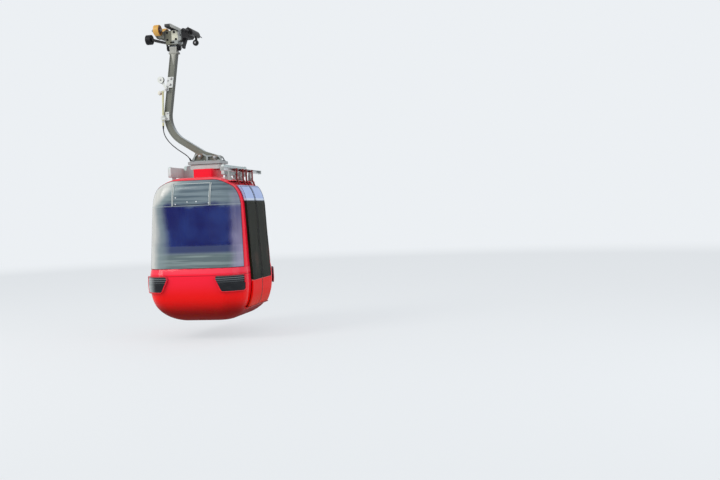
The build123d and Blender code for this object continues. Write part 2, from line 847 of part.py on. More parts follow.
def track_brackets():
    brackets = []
    track_x = cabin_x + body_half_width - track_inset
    outline = ((track_x - 30, lip_z + lip_thickness + seam), (track_x + 20, lip_z + lip_thickness + seam),
               (track_x + 20, -2100), (track_x - seam, -2060), (track_x - seam, track_top),
               (track_x - 12, track_top), (track_x - 30, -2040))
    for y in (-430, 0, 430):
        brackets.append(plate_xz(outline, (y - 25, y + 25)) - roof_form)
    return Compound(brackets)


def sill_rail():
    outside = leaf_gap + leaf_thickness + 4
    z = leaf_bottom - running_gap
    return door_panel(outside, seam, (-rail_half_length, rail_half_length), (z - rail_height, z))


# Roof gear
def roof_block():
    body = block((cabin_x - block_half, cabin_x + block_half),
                 (-block_half_depth, block_half_depth), (roof_top + seam, block_top))
    return fillet(body.edges().filter_by(Axis.Z), 25)


def rubber_pads():
    pad = block((cabin_x - pad_half, cabin_x + pad_half), (-pad_half_depth, pad_half_depth),
                (block_top + seam, pad_top))
    pad = fillet(pad.edges().filter_by(Axis.Z), 14)
    rim = 12
    return pad + block((cabin_x - pad_half + rim, cabin_x + pad_half - rim),
                       (-pad_half_depth + rim, pad_half_depth - rim), (pad_top - 5, cradle_bottom - seam))


def roof_board(place):
    near = body_half_width - board_inner_inset
    x = sorted((cabin_x + place * near, cabin_x + place * (near + board_width)))
    length = board_half_length
    outline = [(-length, board_bottom), (-length, board_top), (length, board_top), (length, board_bottom)]
    if place < 0:
        hump = board_top + board_hump
        outline[2:2] = [(0, board_top), (15, board_top - 25), (80, board_top - 25), (110, hump - 14),
                        (200, hump), (380, hump), (430, board_top + 10)]
    board = plate_yz(outline, x)
    ends = [edge for edge in board.edges().filter_by(Axis.X) if abs(edge.center().Y) > length - 1]
    board = fillet(ends, 18)
    for y in (-320, 0, 320):
        board += block((x[0] + 6, x[1] - 6), (y - 40, y + 40), (-2300, board_bottom + 5))
    return board - roof_form


# Seats inside
def bench_seat(end):
    y = sorted((end * (body_half_depth - seat_front_inset), end * 2000))
    inset = wall + seat_gap
    room = tub(body_half_width - inset, body_half_depth - inset, seat_radius,
               (seat_top - seat_thickness, seat_top))
    return room & band(y, (-4000, -3000))


def bench_back(end):
    y = sorted((end * (body_half_depth - back_front_inset), end * 2000))
    height = (seat_top + seam, back_top)
    half_width, half_depth = body_half_width - back_gap_x, body_half_depth - back_gap_y
    room = tub(half_width, half_depth, seat_radius, height)
    room -= tub(half_width - back_thickness, half_depth - back_thickness,
                seat_radius - back_thickness, height)
    return room & band(y, (-4000, -3000))


def bench_panel(end):
    front = body_half_depth - seat_front_inset + 60
    y = sorted((end * front, end * (front + bench_panel_thickness)))
    half = body_half_width - bench_panel_inset
    return block((cabin_x - half, cabin_x + half), y,
                 (floor_top + seam, seat_top - seat_thickness - seam))


keep("grip_body", grip_body())
keep("jaw_hinge_pin", hinge_pin())
keep("hanger_pin", hanger_pin())
keep("spring_housing", spring_housing())
keep("running_wheel_front", running_wheel(-1))
keep("running_wheel_rear", running_wheel(1))
keep("grip_lever", grip_lever())
keep("rope_tongues", rope_tongues())
keep("lever_roller", lever_roller())
keep("guide_roller", guide_roller())
keep("friction_plate", friction_plate())
keep("hanger_head", hanger_head())
keep("hanger_arm", hanger_arm())
keep("hanger_bushes", hanger_bushes())
keep("suspension_cradle", suspension_cradle())
keep("cradle_pins", cradle_pins())
keep("lever_bracket", lever_bracket())
keep("door_lever", door_lever())
keep("door_rod", door_rod())
keep("rod_guide", rod_guide())
keep("door_cable", door_cable())
keep("cable_gland", cable_gland())
keep("roof_panel", roof_panel())
keep("belly_pan", belly_pan())
keep("floor_panel", floor_panel())
keep("right_side_wall", side_wall(1))
keep("left_side_wall", side_wall(-1))
keep("left_side_window", side_pane())
for name, end in (("front", -1), ("rear", 1)):
    keep(name + "_end_shell", end_shell(end))
    keep(name + "_window", end_pane(end))
    keep(name + "_vent_flap", vent_flap(end))
    keep(name + "_vent_frame", vent_frame(end))
    keep(name + "_left_bumper", bumper(end, -1))
    keep(name + "_right_bumper", bumper(end, 1))
    keep(name + "_bench_seat", bench_seat(end))
    keep(name + "_bench_back", bench_back(end))
    keep(name + "_bench_panel", bench_panel(end))
leaf = door_leaf()
leaf_pane = door_glass()
leaf_rubber = door_rubber()
keep("rear_door_leaf", leaf)
keep("rear_door_glass", leaf_pane)
keep("rear_door_seal", leaf_rubber)
keep("front_door_leaf", mirrored(leaf))
keep("front_door_glass", mirrored(leaf_pane))
keep("front_door_seal", mirrored(leaf_rubber))
keep("door_track", door_track())
keep("track_brackets", track_brackets())
keep("sill_rail", sill_rail())
keep("roof_block", roof_block())
keep("rubber_pads", rubber_pads())
keep("left_roof_board", roof_board(-1))
keep("right_roof_board", roof_board(1))

os.makedirs("parts", exist_ok=True)
for name, shape in parts.items():
    export_step(shape, f"parts/{name}.step")
print(len(parts), "nodes")
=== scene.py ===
import math

import bpy
from mathutils import Matrix, Quaternion, Vector


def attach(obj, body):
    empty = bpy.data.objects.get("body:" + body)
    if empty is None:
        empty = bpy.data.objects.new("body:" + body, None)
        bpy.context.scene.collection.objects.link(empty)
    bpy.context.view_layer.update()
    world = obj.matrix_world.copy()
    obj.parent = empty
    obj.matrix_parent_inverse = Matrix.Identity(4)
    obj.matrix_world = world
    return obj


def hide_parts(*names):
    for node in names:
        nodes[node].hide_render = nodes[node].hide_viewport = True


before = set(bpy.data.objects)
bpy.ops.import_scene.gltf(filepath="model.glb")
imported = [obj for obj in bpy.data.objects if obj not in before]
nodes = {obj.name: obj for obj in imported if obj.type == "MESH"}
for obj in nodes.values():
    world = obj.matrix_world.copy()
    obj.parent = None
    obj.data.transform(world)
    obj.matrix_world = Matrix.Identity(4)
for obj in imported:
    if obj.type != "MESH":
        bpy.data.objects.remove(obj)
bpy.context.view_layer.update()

scene = bpy.context.scene


# Red body: glass fibre mouldings with a sprayed gloss coat, bolted to each other along straight seams.
# The coat has a painted sheen on faces turned up, a painted highlight on the shoulder band and painted shade
# on the crease and the underside; it has road film low down and fine runs of dirt below its ledges.
# Inside, the same mouldings are lined in dull grey.
class Wire:
    """A shader socket that can be used like a number in an expression."""

    def __init__(self, paint, socket):
        self.paint = paint
        self.socket = socket

    def maths(self, operation, other=None, swap=False):
        values = [self] if other is None else [self, other]
        if swap:
            values.reverse()
        return self.paint.node("ShaderNodeMath", {"operation": operation}, dict(enumerate(values)))

    def __add__(self, other):
        return self.maths("ADD", other)

    def __sub__(self, other):
        return self.maths("SUBTRACT", other)

    def __mul__(self, other):
        return self.maths("MULTIPLY", other)

    def __truediv__(self, other):
        return self.maths("DIVIDE", other)

    def __rsub__(self, other):
        return self.maths("SUBTRACT", other, swap=True)

    def __abs__(self):
        return self.maths("ABSOLUTE")

    __radd__ = __add__
    __rmul__ = __mul__

    def clamp(self):
        return self.paint.node("ShaderNodeClamp", {}, {"Value": self})

    def step(self, low, high):
        """0 below low, 1 above high and smooth between."""
        return self.paint.node("ShaderNodeMapRange", {"interpolation_type": "SMOOTHSTEP"},
                               {"Value": self, "From Min": low, "From Max": high})

    def between(self, low, high, soft):
        """1 from low to high, with soft edges outside."""
        return self.step(low - soft, low) * (1 - self.step(high, high + soft))


class Nodes:
    """A node tree to which nodes are added one by one."""

    def __init__(self, tree):
        self.tree = tree

    def node(self, kind, settings, values, output=0):
        made = self.tree.nodes.new(kind)
        for name, value in settings.items():
            setattr(made, name, value)
        for name, value in values.items():
            self.put(made.inputs[name], value)
        return Wire(self, made.outputs[output])

    def put(self, socket, value):
        if isinstance(value, Wire):
            self.tree.links.new(value.socket, socket)
        elif socket.type == "RGBA" and len(value) == 3:
            socket.default_value = (*value, 1)
        else:
            socket.default_value = value

    def seen(self):
        """1 for what the camera sees, straight, in a mirror or through glass."""
        path = self.tree.nodes.new("ShaderNodeLightPath")
        rays = [Wire(self, path.outputs[f"Is {kind} Ray"]) for kind in ("Camera", "Glossy", "Transmission")]
        return (rays[0] + rays[1] + rays[2]).clamp()


class Paint(Nodes):
    """A material, with its place on the object in metres as x, y and z."""

    def __init__(self, name, metallic=0, specular=0.5):
        self.material = bpy.data.materials.new(name)
        self.material.use_nodes = True
        super().__init__(self.material.node_tree)
        self.shader = self.tree.nodes["Principled BSDF"]
        self.feed(Metallic=metallic, Specular_IOR_Level=specular)
        source = self.tree.nodes.new("ShaderNodeTexCoord")
        self.place = Wire(self, source.outputs["Object"])
        self.normal = Wire(self, source.outputs["Normal"])
        self.x, self.y, self.z = [self.part(self.place, axis) for axis in "XYZ"]

    def part(self, vector, axis):
        return self.node("ShaderNodeSeparateXYZ", {}, {"Vector": vector}, "XYZ".index(axis))

    def facing(self, axis):
        """How far the surface faces along an axis, from -1 to 1."""
        return self.part(self.normal, axis)

    def feed(self, **values):
        """Sets inputs of the shader, with underscores for the spaces in their names."""
        for name, value in values.items():
            self.put(self.shader.inputs[name.replace("_", " ")], value)

    def vector(self, operation, first, second=(0, 0, 0), output=0):
        return self.node("ShaderNodeVectorMath", {"operation": operation}, {0: first, 1: second}, output)

    def length(self, vector):
        return self.vector("LENGTH", vector, output=1)

    def noise(self, scale, detail=3, stretch=(1, 1, 1)):
        """Cloudy values about 0.5. A stretch draws them out along the axes with small factors."""
        where = self.vector("MULTIPLY", self.place, stretch)
        return self.node("ShaderNodeTexNoise", {}, {"Vector": where, "Scale": scale, "Detail": detail})

    def mix(self, factor, first, second):
        return self.node("ShaderNodeMix", {"data_type": "RGBA"}, {0: factor, 6: first, 7: second}, 2)

    def distance(self, centre, across=(1, 1, 1)):
        """How far a place is from a centre, counted along the axes whose factor is 1."""
        return self.length(self.vector("MULTIPLY", self.vector("SUBTRACT", self.place, centre), across))

    def done(self, color, roughness, relief=None, **others):
        """Feeds colour, roughness, relief as height, strength and depth, and others. Returns the material."""
        if relief:
            values = dict(zip(("Height", "Strength", "Distance"), relief))
            others["Normal"] = self.node("ShaderNodeBump", {}, values)
        self.feed(Base_Color=color, Roughness=roughness, **others)
        return self.material


cabin_x = 0.154
cabin_centre = (cabin_x, 0, -3)
ledge_z = -3.3
crease_z = -3.399
liner_grey = (0.1, 0.11, 0.13)


def red_gelcoat():
    paint = Paint("red gelcoat", specular=0.07)
    height = paint.z
    up = paint.facing("Z")
    broad = paint.noise(1.6, 4)
    runs = paint.noise(2.2, 5, (9, 9, 0.7))
    lower = paint.mix(broad, (0.88, 0.002, 0.002), (0.97, 0.006, 0.003))
    fresh = paint.mix(height.step(-3.72, -3.44), lower, (0.95, 0.014, 0.04))
    # Faces turned up are painted lighter pink: a painted sheen.
    with_top_sheen = paint.mix(up.step(0.25, 0.95) * 0.55, fresh, (0.86, 0.1, 0.12))
    # A paler pink band on the shoulder below the ledge: a painted highlight.
    shoulder_highlight = height.between(ledge_z - 0.065, ledge_z - 0.015, 0.02) * 0.35
    rolled = paint.mix(shoulder_highlight, with_top_sheen, (0.96, 0.11, 0.17))
    # Faces turned down are painted near black: painted shade on the underside.
    shaded_underside = 1 - up.step(-0.8, -0.22)
    with_underside_shade = paint.mix(shaded_underside * 0.88, rolled, (0.13, 0.001, 0.001))
    film = ((1 - height.step(-4.05, -3.7)) * runs.step(0.45, 0.72) * 0.3).clamp()
    dirty = paint.mix(film, with_underside_shade, (0.3, 0.06, 0.015))
    # A dark line along the crease: painted shade.
    crease_shade = height.between(crease_z - 0.004, crease_z + 0.001, 0.004) * 0.6
    ledge = height.between(ledge_z - 0.009, ledge_z, 0.006) * runs.step(0.35, 0.75) * 0.5
    from_centre = paint.vector("SUBTRACT", paint.place, cabin_centre)
    outside = paint.vector("DOT_PRODUCT", paint.normal, from_centre, 1)
    coated = paint.mix((crease_shade + ledge).clamp(), dirty, (0.17, 0.004, 0.004))
    liner = 1 - outside.step(-0.02, 0.02)
    scuffs = paint.noise(46, 6, (1, 1, 2)).step(0.6, 0.74)
    dull = scuffs * 0.1 + film * 0.45 + up.step(0.3, 1) * 0.1 + liner * 0.4 + shaded_underside * 0.45
    return paint.done(paint.mix(liner, coated, liner_grey), (dull + 0.13).clamp(),
                      (paint.noise(3.2, 2) * 3 + paint.noise(420, 1) * 0.12, 0.25, 0.0012),
                      Coat_Weight=(0.16 - film - liner * 0.16 - shaded_underside * 0.14).clamp(), Coat_Roughness=0.04)


weld_gap = 0.00002
sharp_angle = math.radians(32)


def finish(material, *names):
    """Gives CAD pieces their finish, with smooth shading between their real edges."""
    for name in names:
        piece = nodes[name]
        piece.select_set(False)
        piece.data.materials.clear()
        piece.data.materials.append(material)
        for face in piece.data.polygons:
            face.use_smooth = True
        weld = piece.modifiers.new("weld", "WELD")
        weld.merge_threshold = weld_gap
        split = piece.modifiers.new("edges", "EDGE_SPLIT")
        split.split_angle = sharp_angle


bpy.ops.object.select_all(action="DESELECT")
red = red_gelcoat()
finish(red, "roof_panel", "belly_pan", "right_side_wall", "left_side_wall", "front_end_shell",
       "rear_end_shell")


# Edges of the big end windows: a rolled red lip on the arch of the body, and the black rubber in which
# each pane is bonded. Both follow the pane's outer edge, so they are swept along it.
corner_x = 0.39
corner_y = 0.44


def outward(place):
    """The level way out of the rounded body at a place on it."""
    across = max(abs(place.x - cabin_x) - corner_x, 0)
    along = max(abs(place.y) - corner_y, 0)
    if across + along < 1e-6:
        across = 1
    return Vector((math.copysign(across, place.x - cabin_x), math.copysign(along, place.y), 0)).normalized()


def edit(piece):
    """Opens one piece in edit mode with nothing selected."""
    bpy.ops.object.select_all(action="DESELECT")
    piece.select_set(True)
    bpy.context.view_layer.objects.active = piece
    bpy.ops.object.mode_set(mode="EDIT")
    bpy.ops.mesh.select_mode(type="FACE")
    bpy.ops.mesh.select_all(action="DESELECT")


def leave():
    """Closes edit mode."""
    bpy.ops.object.mode_set(mode="OBJECT")


def copy_of(mesh):
    """A new piece with its own copy of a mesh."""
    piece = bpy.data.objects.new("copy", mesh.copy())
    scene.collection.objects.link(piece)
    return piece


def merged_copy(node):
    """A copy of a CAD piece in edit mode, with its double points merged."""
    piece = copy_of(nodes[node].data)
    edit(piece)
    bpy.ops.mesh.select_all(action="SELECT")
    bpy.ops.mesh.remove_doubles(threshold=weld_gap)
    return piece


def cut(z, **sides):
    """Cuts the mesh in edit mode at a height. Its inner side is below and its outer side above."""
    bpy.ops.mesh.select_all(action="SELECT")
    bpy.ops.mesh.bisect(plane_co=(0, 0, z), plane_no=(0, 0, 1), **sides)


def pick(piece, test):
    """Selects the faces whose test holds, in edit mode."""
    leave()
    for face in piece.data.polygons:
        face.select = test(face)
    bpy.ops.object.mode_set(mode="EDIT")


def settle(piece, name, body, material, smooth=32):
    """Applies a modelled piece's modifiers and place, names it and hangs it on its body."""
    if bpy.context.mode != "OBJECT":
        leave()
    bpy.ops.object.select_all(action="DESELECT")
    piece.select_set(True)
    bpy.context.view_layer.objects.active = piece
    for modifier in list(piece.modifiers):
        bpy.ops.object.modifier_apply(modifier=modifier.name)
    bpy.ops.object.transform_apply(location=True, rotation=True, scale=True)
    bpy.ops.object.shade_smooth_by_angle(angle=math.radians(smooth))
    piece.name = name
    piece.data.materials.clear()
    piece.data.materials.append(material)
    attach(piece, body)
    return piece


def outer_face(node):
    """A copy of only the outer face of a pane or moulding, with its points merged."""
    piece = merged_copy(node)
    pick(piece, lambda face: face.normal.dot(outward(face.center)) < 0.3)
    bpy.ops.mesh.delete(type="FACE")
    return piece


def bead(node, name, radius, body, material, keep=None, shift=0):
    """A round strip along the edge of a piece's outer face, or along the part of it to keep."""
    piece = outer_face(node)
    bpy.ops.mesh.select_all(action="SELECT")
    bpy.ops.mesh.region_to_loop()
    bpy.ops.mesh.select_mode(type="EDGE")
    bpy.ops.mesh.select_all(action="INVERT")
    bpy.ops.mesh.delete(type="EDGE")
    leave()
    if keep:
        for point in piece.data.vertices:
            point.select = not keep(point.co)
        bpy.ops.object.mode_set(mode="EDIT")
        bpy.ops.mesh.select_mode(type="VERT")
        bpy.ops.mesh.delete(type="VERT")
        leave()
    for point in piece.data.vertices:
        point.co.y += math.copysign(shift, -point.co.y)
    bpy.ops.object.convert(target="CURVE")
    piece.data.bevel_depth = radius
    piece.data.bevel_resolution = 3
    piece.data.use_fill_caps = True
    bpy.ops.object.convert(target="MESH")
    return settle(piece, name, body, material, 50)


def rubber():
    paint = Paint("black rubber", specular=0.2)
    chalk = paint.noise(22, 5).step(0.45, 0.75)
    # Faces turned up are lighter grey.
    up = paint.facing("Z").step(0.2, 1)
    chalk_and_lighter_top = (chalk * 0.5 + up * 0.35).clamp()
    return paint.done(paint.mix(chalk_and_lighter_top, (0.007, 0.007, 0.008), (0.05, 0.049, 0.047)), chalk * 0.2 + 0.5,
                      (paint.noise(700, 2), 0.25, 0.0004))


black_rubber = rubber()
arch_bottom_z = -3.285
vent_notch_x = 0.267
vent_notch_y = 0.62


def on_arch(at):
    """Holds for the points of a pane's edge that are neither at its foot nor beside the vent."""
    beside_vent = abs(at.x - cabin_x) < vent_notch_x and abs(at.y) > vent_notch_y
    return at.z > arch_bottom_z and not beside_vent


for place in ("front", "rear"):
    bead(place + "_window", place + "_window_seal", 0.0035, "cabin", black_rubber)
    bead(place + "_window", place + "_arch_lip", 0.007, "cabin", red, on_arch, 0.0085)


# End windows: bent sheets of smoky acrylic, clear in the middle and streaky towards the edges, with a painted
# sky reflection towards the top and on the bent left corner, a painted highlight on the bent right corner,
# painted shade below the backrest and a paler grey-green band towards the bottom. A raised rib crosses them
# below the vent, with a painted highlight along it.
rib_z = -2.452
backrest_z = -3.03


def end_acrylic():
    paint = Paint("smoky end acrylic", specular=0.22)
    height = paint.z
    way = paint.x - cabin_x
    level = paint.noise(1, 5, (1.2, 1.2, 26))
    upright = paint.noise(1, 4, (24, 24, 1.2))
    cloud = paint.noise(3, 4)
    drift = cloud * 0.16
    # Paler grey-blue towards the top: a painted reflection of the sky.
    top = (height + drift).step(rib_z + 0.035, rib_z + 0.135)
    # Darker navy below the backrest: painted shade inside the cabin.
    shade_below_backrest = 1 - (height + level * 0.03).step(backrest_z + 0.035, backrest_z + 0.06)
    # A paler grey-green band towards the bottom.
    low = 1 - (height + level * 0.03).step(backrest_z - 0.09, backrest_z - 0.02)
    corner = (height - rib_z).clamp() * 0.9 - way + drift
    # The bent left corner is painted paler grey in two steps: a painted reflection of the sky.
    bent_left = corner.step(0.37, 0.54)
    pale_left = corner.step(0.52, 0.68)
    # The bent right corner is painted lilac grey, most strongly low down: a painted highlight.
    bent_right = (way + drift).step(0.58, 0.72) * (1 - height.step(-2.95, -2.45) * 0.6)
    clear = paint.mix(cloud.step(0.35, 0.65), (0.008, 0.012, 0.13), (0.016, 0.036, 0.2))
    top_reflection_color = paint.mix(level.step(0.35, 0.65), (0.1, 0.14, 0.16), (0.22, 0.28, 0.3))
    dusty = paint.mix(level.step(0.42, 0.62), (0.14, 0.19, 0.195), (0.27, 0.34, 0.33))
    shaded = paint.mix(low * 0.92, paint.mix(shade_below_backrest * 0.8, clear, (0.055, 0.075, 0.16)), dusty)
    color = paint.mix(top * 0.92, shaded, top_reflection_color)
    greyed = paint.mix(bent_right * 0.7, color, paint.mix(upright, (0.28, 0.28, 0.44), (0.54, 0.44, 0.6)))
    # A pale line along the rib: a painted highlight.
    rib_highlight = height.between(rib_z - 0.003, rib_z + 0.005, 0.004) * 0.5
    left_corner_reflection = paint.mix(bent_left * 0.8, greyed, paint.mix(level, (0.18, 0.24, 0.26), (0.3, 0.36, 0.36)))
    left_corner_glare = paint.mix(pale_left * 0.9, left_corner_reflection, paint.mix(upright, (0.52, 0.53, 0.5), (0.74, 0.72, 0.68)))
    return paint.done(paint.mix(rib_highlight, left_corner_glare, (0.46, 0.52, 0.52)),
                      level.step(0.5, 0.8) * 0.1 + bent_left * 0.1 + 0.06, (paint.noise(2, 1), 0.06, 0.004),
                      Alpha=(top * 0.18 + shade_below_backrest * 0.16 + bent_left * 0.2 + bent_right * 0.1 + 0.74).clamp())


smoky = end_acrylic()
for place in ("front", "rear"):
    finish(smoky, place + "_window", place + "_vent_flap")
    rib = outer_face(place + "_window")
    cut(rib_z + 0.005, clear_outer=True)
    cut(rib_z - 0.005, clear_inner=True)
    leave()
    thick = rib.modifiers.new("thick", "SOLIDIFY")
    thick.thickness = 0.0025
    thick.offset = 1
    settle(rib, place + "_window_rib", "cabin", smoky)


# Vent in each end window: a bonded flap under a hinge strip and between two grey bars, with a rubber
# all round and small domed screws near its lower corners and edge.
def brushed_aluminium():
    paint = Paint("satin aluminium", metallic=0.85)
    grain = paint.noise(30, 3, (6, 6, 0.5))
    stain = paint.noise(9, 5).step(0.5, 0.8)
    bare = paint.mix(grain, (0.55, 0.57, 0.58), (0.78, 0.79, 0.8))
    return paint.done(paint.mix(stain * 0.6, bare, (0.34, 0.35, 0.35)), grain * 0.15 + stain * 0.25 + 0.25,
                      (grain, 0.15, 0.0006))


def add(primitive, **values):
    """A new piece from one of Blender's own shapes."""
    bpy.ops.object.select_all(action="DESELECT")
    primitive(**values)
    return bpy.context.object


def mesh_of(piece):
    """The mesh of a piece that is only the pattern for copies."""
    mesh = piece.data
    bpy.data.objects.remove(piece)
    return mesh


def screw_shape():
    """A domed screw head of 1 m across that stands on z = 0."""
    piece = add(bpy.ops.mesh.primitive_uv_sphere_add, segments=14, ring_count=8, radius=0.5)
    edit(piece)
    cut(0, clear_inner=True, use_fill=True)
    bpy.ops.mesh.select_all(action="SELECT")
    bpy.ops.transform.resize(value=(1, 1, 0.55))
    leave()
    return mesh_of(piece)


def joined(pieces):
    """Several pieces as one."""
    bpy.ops.object.select_all(action="DESELECT")
    for piece in pieces:
        piece.select_set(True)
    bpy.context.view_layer.objects.active = pieces[0]
    if len(pieces) > 1:
        bpy.ops.object.join()
    return pieces[0]


def scatter(name, mesh, places, body, slot, material):
    """Copies of one shape as one piece: each at its point, facing its way and of its size."""
    copies = []
    for point, way, size in places:
        copy = copy_of(mesh)
        turn = Vector(way).to_track_quat("Z", "Y").to_matrix().to_4x4()
        copy.matrix_world = Matrix.Translation(point) @ turn @ Matrix.Scale(size, 4)
        copies.append(copy)
    return settle(joined(copies), name, body, material, 40)


def bar_finish():
    paint = Paint("greyed vent bar", metallic=0.35, specular=0.3)
    across = abs(paint.x - cabin_x)
    groove = 1 - abs(across - vent_bar_x).step(0.004, 0.006)
    stain = paint.noise(14, 5)
    grey = paint.mix(stain, (0.45, 0.5, 0.5), (0.64, 0.68, 0.67))
    return paint.done(paint.mix(groove * 0.9, grey, (0.02, 0.022, 0.026)), stain * 0.25 + 0.35,
                      (stain - groove, 0.3, 0.001))


both_ends = (("front", -1), ("rear", 1))
vent_bar_x = 0.268
flap_top_z = -2.1503
bar_metal = bar_finish()
aluminium = brushed_aluminium()
screw = screw_shape()
flap_screws = ((-0.073, -2.337), (0.41, -2.331), (0.405, -2.425),
               (0.228, -2.4), (0.098, -2.4), (-0.073, -2.425))


def pane_y(z):
    """How far the end window lies from the middle of the cabin, at a height."""
    stations = ((ledge_z, 0.775), (-2.45, 0.705), (-2.3, 0.682), (-2.19, 0.642), (-2.12, 0.592))
    for (low, y_low), (high, y_high) in zip(stations, stations[1:]):
        if z <= high:
            return y_low + (y_high - y_low) * (z - low) / (high - low)
    return stations[-1][1]


for place, way in both_ends:
    bars = merged_copy(place + "_vent_frame")
    cut(rib_z, clear_inner=True, use_fill=True)
    settle(bars, place + "_vent_bars", "cabin", bar_metal)
    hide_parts(place + "_vent_frame")
    bead(place + "_vent_flap", place + "_vent_seal", 0.0035, "cabin", black_rubber)
    bead(place + "_vent_flap", place + "_vent_hinge", 0.006, "cabin", bar_metal,
         keep=lambda at: at.z > flap_top_z - 0.006)
    scatter(place + "_vent_screws", screw,
            [((x, way * (pane_y(z) - 0.001), z), (0, way, 0.1), 0.02) for x, z in flap_screws],
            "cabin", "aluminium", aluminium)


# Bumpers on the four corners: ribbed black plastic mouldings screwed on from inside, scuffed grey on the
# proud ridges, with painted highlights on faces turned up and along the upper ridges and a painted sky
# reflection on the outer end of the left ones, each set in a rolled red lip of the body.
def bumper_plastic():
    paint = Paint("black bumper plastic", specular=0.28)
    scuff = paint.noise(7, 4, (1, 1, 3)).step(0.52, 0.75)
    # Faces turned up are painted lighter grey: a painted highlight.
    up = paint.facing("Z").step(0.12, 0.8)
    # The outer end of the left bumpers is painted silver grey: a painted reflection of the sky.
    sky_reflection_end = (0.24 - paint.x).step(0.6, 0.74)
    ridge = abs(((paint.z + 3.422) / ridge_step).maths("FRACT") - 0.5)
    dust = (1 - ridge.step(0.28, 0.42)) * paint.noise(7, 4).step(0.4, 0.7)
    plain = paint.mix(scuff * 0.2 + dust * 0.1, (0.004, 0.005, 0.008), (0.05, 0.055, 0.06))
    # Pale lines along the upper ridges: painted highlights.
    ridge_highlight = (1 - ridge.step(0.1, 0.24)) * paint.z.step(-3.52, -3.43) * 0.75
    with_highlights = paint.mix((up * 0.6).maths("MAXIMUM", ridge_highlight), plain, (0.24, 0.265, 0.28))
    return paint.done(paint.mix(sky_reflection_end * (0.9 - dust * 0.7), with_highlights, (0.42, 0.46, 0.46)),
                      scuff * 0.25 + dust * 0.2 + 0.24, (paint.noise(520, 2), 0.1, 0.0003))


def wrap(at):
    """How far a point lies round a corner, from the end towards the side."""
    return abs(at.x - cabin_x) - abs(at.y)


def outline_of(node):
    """A test that holds only for the points on a bumper's outline, wrapped round its corner."""
    rows = {}
    points = [point.co for point in nodes[node].data.vertices if point.co.length]
    low_z, high_z = min(at.z for at in points), max(at.z for at in points)
    for at in points:
        row = rows.setdefault(round(at.z / bumper_row), [9, -9])
        row[:] = [min(row[0], wrap(at)), max(row[1], wrap(at))]

    def on_outline(at):
        first, last = rows.get(round(at.z / bumper_row), (9, -9))
        near_end = wrap(at) < first + 0.03 or wrap(at) > last - 0.03
        return near_end or at.z > high_z - 0.012 or at.z < low_z + 0.012
    return on_outline


bumper_row = 0.01
ridge_step = 0.026
bumper_black = bumper_plastic()
for place in ("front", "rear"):
    for side in ("left", "right"):
        node = f"{place}_{side}_bumper"
        finish(bumper_black, node)
        bead(node, node + "_lip", 0.008, "cabin", red, keep=outline_of(node))


# Side window and door glass: darker acrylic sheets, bent inwards at the top, where a paler blue band is a
# painted reflection of the sky, with a painted highlight along the bend. Black rubber seals them into the
# wall and the leaves.
bend_z = -2.405


def pane_color(paint, upright, reflection_band):
    """The tint of the side panes, with a painted sky reflection on the bent top band and a painted highlight
    along the bend, which the leaf frames round them repeat.
    """
    patches = paint.noise(3.4, 4)
    deep = paint.mix(upright.step(0.35, 0.7), (0.004, 0.008, 0.003), (0.019, 0.02, 0.011))
    warm = paint.mix((1 - paint.z.step(-3.35, -2.9)) * patches.step(0.45, 0.7) * 0.6, deep,
                     (0.085, 0.04, 0.03))
    # Pale blue on the bent top band: a painted reflection of the sky.
    sky = paint.mix(patches, (0.4, 0.5, 0.82), (0.55, 0.65, 0.92))
    # A near white line along the bend: a painted highlight.
    edge = paint.z.between(bend_z, bend_z + 0.018, 0.02) * 0.7
    return paint.mix(reflection_band, warm, paint.mix(edge, sky, (0.8, 0.86, 0.95)))


def side_acrylic():
    paint = Paint("dark side acrylic", specular=0.02)
    height = paint.z
    upright = paint.noise(1, 5, (30, 30, 1.4))
    reflection_band = height.step(bend_z - 0.012, bend_z + 0.012)
    return paint.done(pane_color(paint, upright, reflection_band), upright.step(0.55, 0.8) * 0.12 + 0.06,
                      (paint.noise(2.4, 1), 0.2, 0.004), Alpha=reflection_band * 0.1 + 0.86)


dark_pane = side_acrylic()
for node, body in (("left_side_window", "cabin"), ("front_door_glass", "front_door"),
                   ("rear_door_glass", "rear_door")):
    finish(dark_pane, node)
    bead(node, node + "_seal", 0.0035, body, black_rubber)


# Door leaves: one moulding each, red below the sill with a painted highlight along it and a painted sheen on
# faces turned up, and black round the glass in the panes' colour with their painted sky reflection, hung from
# the track by two straps painted dark red as painted shade under the roof edge, with a black rubber on the
# edge where they meet.
glass_foot_z = -3.498
strap_foot_z = -2.19


